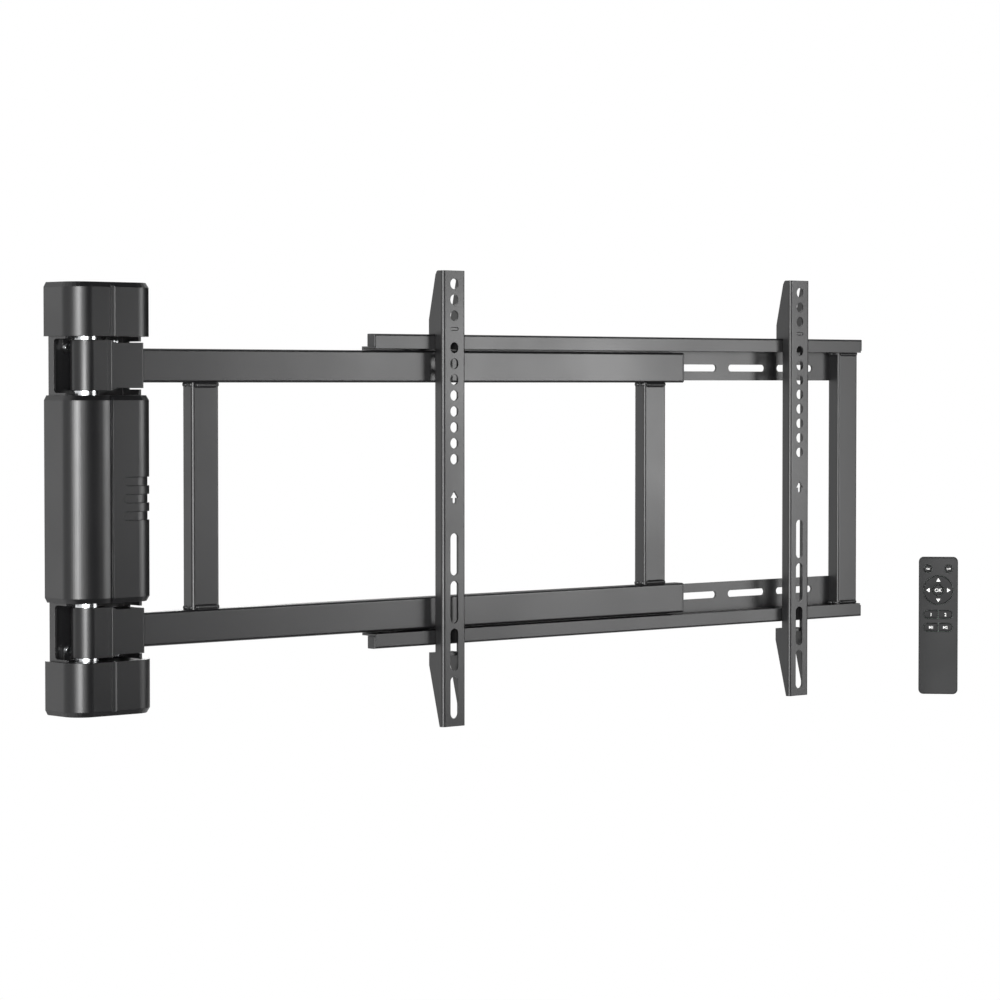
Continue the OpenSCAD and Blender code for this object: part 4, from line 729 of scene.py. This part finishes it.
# Dark screens at this distance from the middle: name, first and last azimuth, lowest and highest point
SCREEN_RADIUS = 2.6
SCREENS = (("Flag_front", -96, 66, -0.8, 1.3), ("Flag_right", -145, -96, -0.45, 0.75))
# Level dark sheets in the front half: name and height
SHEETS = (("Flag_overhead", 1.3), ("Flag_under", -0.75))
SHEET_BACK = -0.2
# Strength of the white surround as the eye and reflections see it, and as a light
SURROUND_SEEN, SURROUND_LIGHT = 1.0, 0.25
# Half side of the floor, and where its paper starts and ends to melt into the surround
FLOOR_HALF, MELT_FROM, MELT_TO = 6.0, 0.9, 1.7
# The camera's film width in millimetres, and the nearest and farthest that it sees in metres
FILM_WIDTH, NEAREST, FARTHEST = 36.0, 0.05, 60.0


def lamp(name, aim, azimuth, distance, height, width, tall, radiance):
    """An area lamp facing the set's middle; azimuth runs from the front towards the column's side. Its
    power is four times radiance times area, so a radiance of 1 is as bright as white."""
    data = bpy.data.lights.new(name, "AREA")
    data.shape, data.size, data.size_y = "RECTANGLE", width, tall
    data.energy = 4 * radiance * width * tall
    obj = bpy.data.objects.new(name, data)
    a = math.radians(azimuth)
    obj.location = Vector(aim) + Vector((-math.sin(a) * distance, -math.cos(a) * distance, height))
    obj.rotation_euler = (Vector(aim) - obj.location).to_track_quat("-Z", "Y").to_euler()
    obj.visible_camera = False
    bpy.context.scene.collection.objects.link(obj)


def curved_screen(name, aim, start, end, low, high):
    """An upright piece of cylinder wall round the set, from one azimuth to another: each point is the
    middle plus radius times (-sin a, -cos a)."""
    cells = 24
    a = np.radians(np.linspace(start, end, cells + 1))
    x, y = aim[0] - SCREEN_RADIUS * np.sin(a), aim[1] - SCREEN_RADIUS * np.cos(a)
    points = np.concatenate([np.stack([x, y, np.full_like(x, z)], 1) for z in (low, high)])
    i = np.arange(cells)
    return link_mesh(name, points, np.stack([i, i + 1, i + cells + 2, i + cells + 1], 1))


def level_sheet(name, aim, half_x, front, back, height, cells):
    """A level sheet of square cells, from front to back of the middle and half_x to both sides of it."""
    u, v = np.meshgrid(np.linspace(-half_x, half_x, cells + 1), np.linspace(front, back, cells + 1))
    points = np.stack([u.ravel() + aim[0], v.ravel() + aim[1], np.full(u.size, height)], 1)
    i = (np.arange(cells)[:, None] * (cells + 1) + np.arange(cells)).ravel()
    return link_mesh(name, points, np.stack([i, i + 1, i + cells + 2, i + cells + 1], 1))


def seen_directly(tree):
    """A socket that is 1 for camera, glossy and transmission rays and 0 for the rays that carry soft
    light."""
    path = add_node(tree, "ShaderNodeLightPath")
    seen = add_node(tree, "ShaderNodeMath", {"operation": "ADD"}, None,
                    {0: path.outputs["Is Camera Ray"], 1: path.outputs["Is Glossy Ray"]})
    seen = add_node(tree, "ShaderNodeMath", {"operation": "ADD", "use_clamp": True}, None,
                    {0: seen.outputs[0], 1: path.outputs["Is Transmission Ray"]})
    return seen.outputs[0]


def white_surround():
    """A world that looks white and gives less light than that."""
    world = bpy.data.worlds.new("White_surround")
    bpy.context.scene.world = world
    world.use_nodes = True
    t = world.node_tree
    t.nodes.clear()
    dim, white = (add_node(t, "ShaderNodeBackground", inputs={"Color": (1, 1, 1, 1), "Strength": strength})
                  for strength in (SURROUND_LIGHT, SURROUND_SEEN))
    both = add_node(t, "ShaderNodeMixShader",
                    links={0: seen_directly(t), 1: dim.outputs[0], 2: white.outputs[0]})
    out = add_node(t, "ShaderNodeOutputWorld", links={"Surface": both.outputs[0]})
    if not out.inputs["Surface"].is_linked:
        raise RuntimeError("the surround has no shader")


def felt():
    """Black felt: no shine, and almost no light comes back."""
    m, t, out = new_material("Black_felt_flag")
    cloth = add_node(t, "ShaderNodeBsdfDiffuse", inputs={"Color": linear("0a0a0a")})
    t.links.new(cloth.outputs[0], out.inputs["Surface"])
    return m


def floor_paper(middle):
    """White paper that keeps the soft shadow under the mount and melts into the white surround further out.
    Seen from underneath it is left out, so that it doesn't hide the mount."""
    m, t, out = new_material("Pale_paper_floor")
    at = add_node(t, "ShaderNodeTexCoord").outputs["Object"]
    away = add_node(t, "ShaderNodeVectorMath", {"operation": "DISTANCE"}, {1: middle}, {0: at})
    far = add_node(t, "ShaderNodeMapRange", {"interpolation_type": "SMOOTHSTEP"},
                   {"From Min": MELT_FROM, "From Max": MELT_TO}, {"Value": away.outputs["Value"]})
    fade = add_node(t, "ShaderNodeMath", {"operation": "MULTIPLY"}, None,
                    {0: far.outputs["Result"], 1: seen_directly(t)})
    paper = add_node(t, "ShaderNodeBsdfDiffuse", inputs={"Color": linear("f4f4f4")})
    glow = add_node(t, "ShaderNodeEmission", inputs={"Color": (1, 1, 1, 1), "Strength": SURROUND_SEEN})
    top = add_node(t, "ShaderNodeMixShader",
                   links={0: fade.outputs[0], 1: paper.outputs[0], 2: glow.outputs[0]})
    below = add_node(t, "ShaderNodeNewGeometry").outputs["Backfacing"]
    clear = add_node(t, "ShaderNodeBsdfTransparent")
    sheet = add_node(t, "ShaderNodeMixShader", links={0: below, 1: top.outputs[0], 2: clear.outputs[0]})
    t.links.new(sheet.outputs[0], out.inputs["Surface"])
    return m


class MOUNT_OT_studio(bpy.types.Operator):
    """Sets the floor, the white surround, the lamps and the dark flags"""

    bl_idname = "mount.studio"
    bl_label = "Set the studio"

    def execute(self, context):
        p = context.scene.mount_studio
        context.scene.view_settings.view_transform = "Standard"
        white_surround()
        for name, *settings in LAMPS:
            lamp(name, p.aim, *settings)

        flags = [curved_screen(name, p.aim, *reach) for name, *reach in SCREENS]
        flags += [level_sheet(name, p.aim, SCREEN_RADIUS, -SCREEN_RADIUS, SHEET_BACK, height, cells=2)
                  for name, height in SHEETS]
        dark = felt()
        for f in flags:
            f.data.materials.append(dark)
            f.visible_camera = f.visible_diffuse = f.visible_shadow = f.visible_transmission = False

        floor = level_sheet("Studio_floor", p.aim, FLOOR_HALF, -FLOOR_HALF, FLOOR_HALF, -p.floor_drop,
                            cells=4)
        floor.data.materials.append(floor_paper((p.aim[0], p.aim[1], -p.floor_drop)))
        return {"FINISHED"}


class MOUNT_OT_camera(bpy.types.Operator):
    """Stands the camera where the photograph was taken from"""

    bl_idname = "mount.camera"
    bl_label = "Place the camera"

    def execute(self, context):
        p = context.scene.mount_studio
        data = bpy.data.cameras.new("Photo_camera")
        data.sensor_width, data.lens = FILM_WIDTH, p.lens
        data.clip_start, data.clip_end = NEAREST, FARTHEST
        data.dof.use_dof = False
        cam = bpy.data.objects.new("Photo_camera", data)
        cam.location = p.camera_place
        look = Vector((math.sin(p.camera_turn) * math.cos(p.camera_tip),
                       math.cos(p.camera_turn) * math.cos(p.camera_tip), -math.sin(p.camera_tip)))
        cam.rotation_euler = look.to_track_quat("-Z", "Y").to_euler()
        context.scene.collection.objects.link(cam)
        context.scene.camera = cam
        return {"FINISHED"}


class MOUNT_PT_panel(bpy.types.Panel):
    """Lists the mount's steps and settings in the sidebar"""

    bl_idname = "MOUNT_PT_panel"
    bl_label = "TV wall mount"
    bl_space_type = "VIEW_3D"
    bl_region_type = "UI"
    bl_category = "TV mount"

    def draw(self, context):
        for cls in STEPS:
            self.layout.operator(cls.bl_idname)
        for group in (context.scene.mount_finish, context.scene.mount_remote, context.scene.mount_studio):
            box = self.layout.box()
            for key in group.__annotations__:
                box.prop(group, key)


STEPS = (
    MOUNT_OT_camera, MOUNT_OT_steelwork, MOUNT_OT_covers, MOUNT_OT_drive, MOUNT_OT_remote, MOUNT_OT_welds,
    MOUNT_OT_screws, MOUNT_OT_keys, MOUNT_OT_studio,
)
CLASSES = (MountFinishProps, MountRemoteProps, MountStudioProps, *STEPS, MOUNT_PT_panel)


def register():
    for cls in CLASSES:
        bpy.utils.register_class(cls)
    bpy.types.Scene.mount_finish = PointerProperty(type=MountFinishProps)
    bpy.types.Scene.mount_remote = PointerProperty(type=MountRemoteProps)
    bpy.types.Scene.mount_studio = PointerProperty(type=MountStudioProps)


def unregister():
    del bpy.types.Scene.mount_studio
    del bpy.types.Scene.mount_remote
    del bpy.types.Scene.mount_finish
    for cls in reversed(CLASSES):
        bpy.utils.unregister_class(cls)


def main():
    register()
    for step in STEPS:
        # A step's short name follows "mount." in its bl_idname
        getattr(bpy.ops.mount, step.bl_idname.split(".")[1])()


if __name__ == "__main__":
    main()
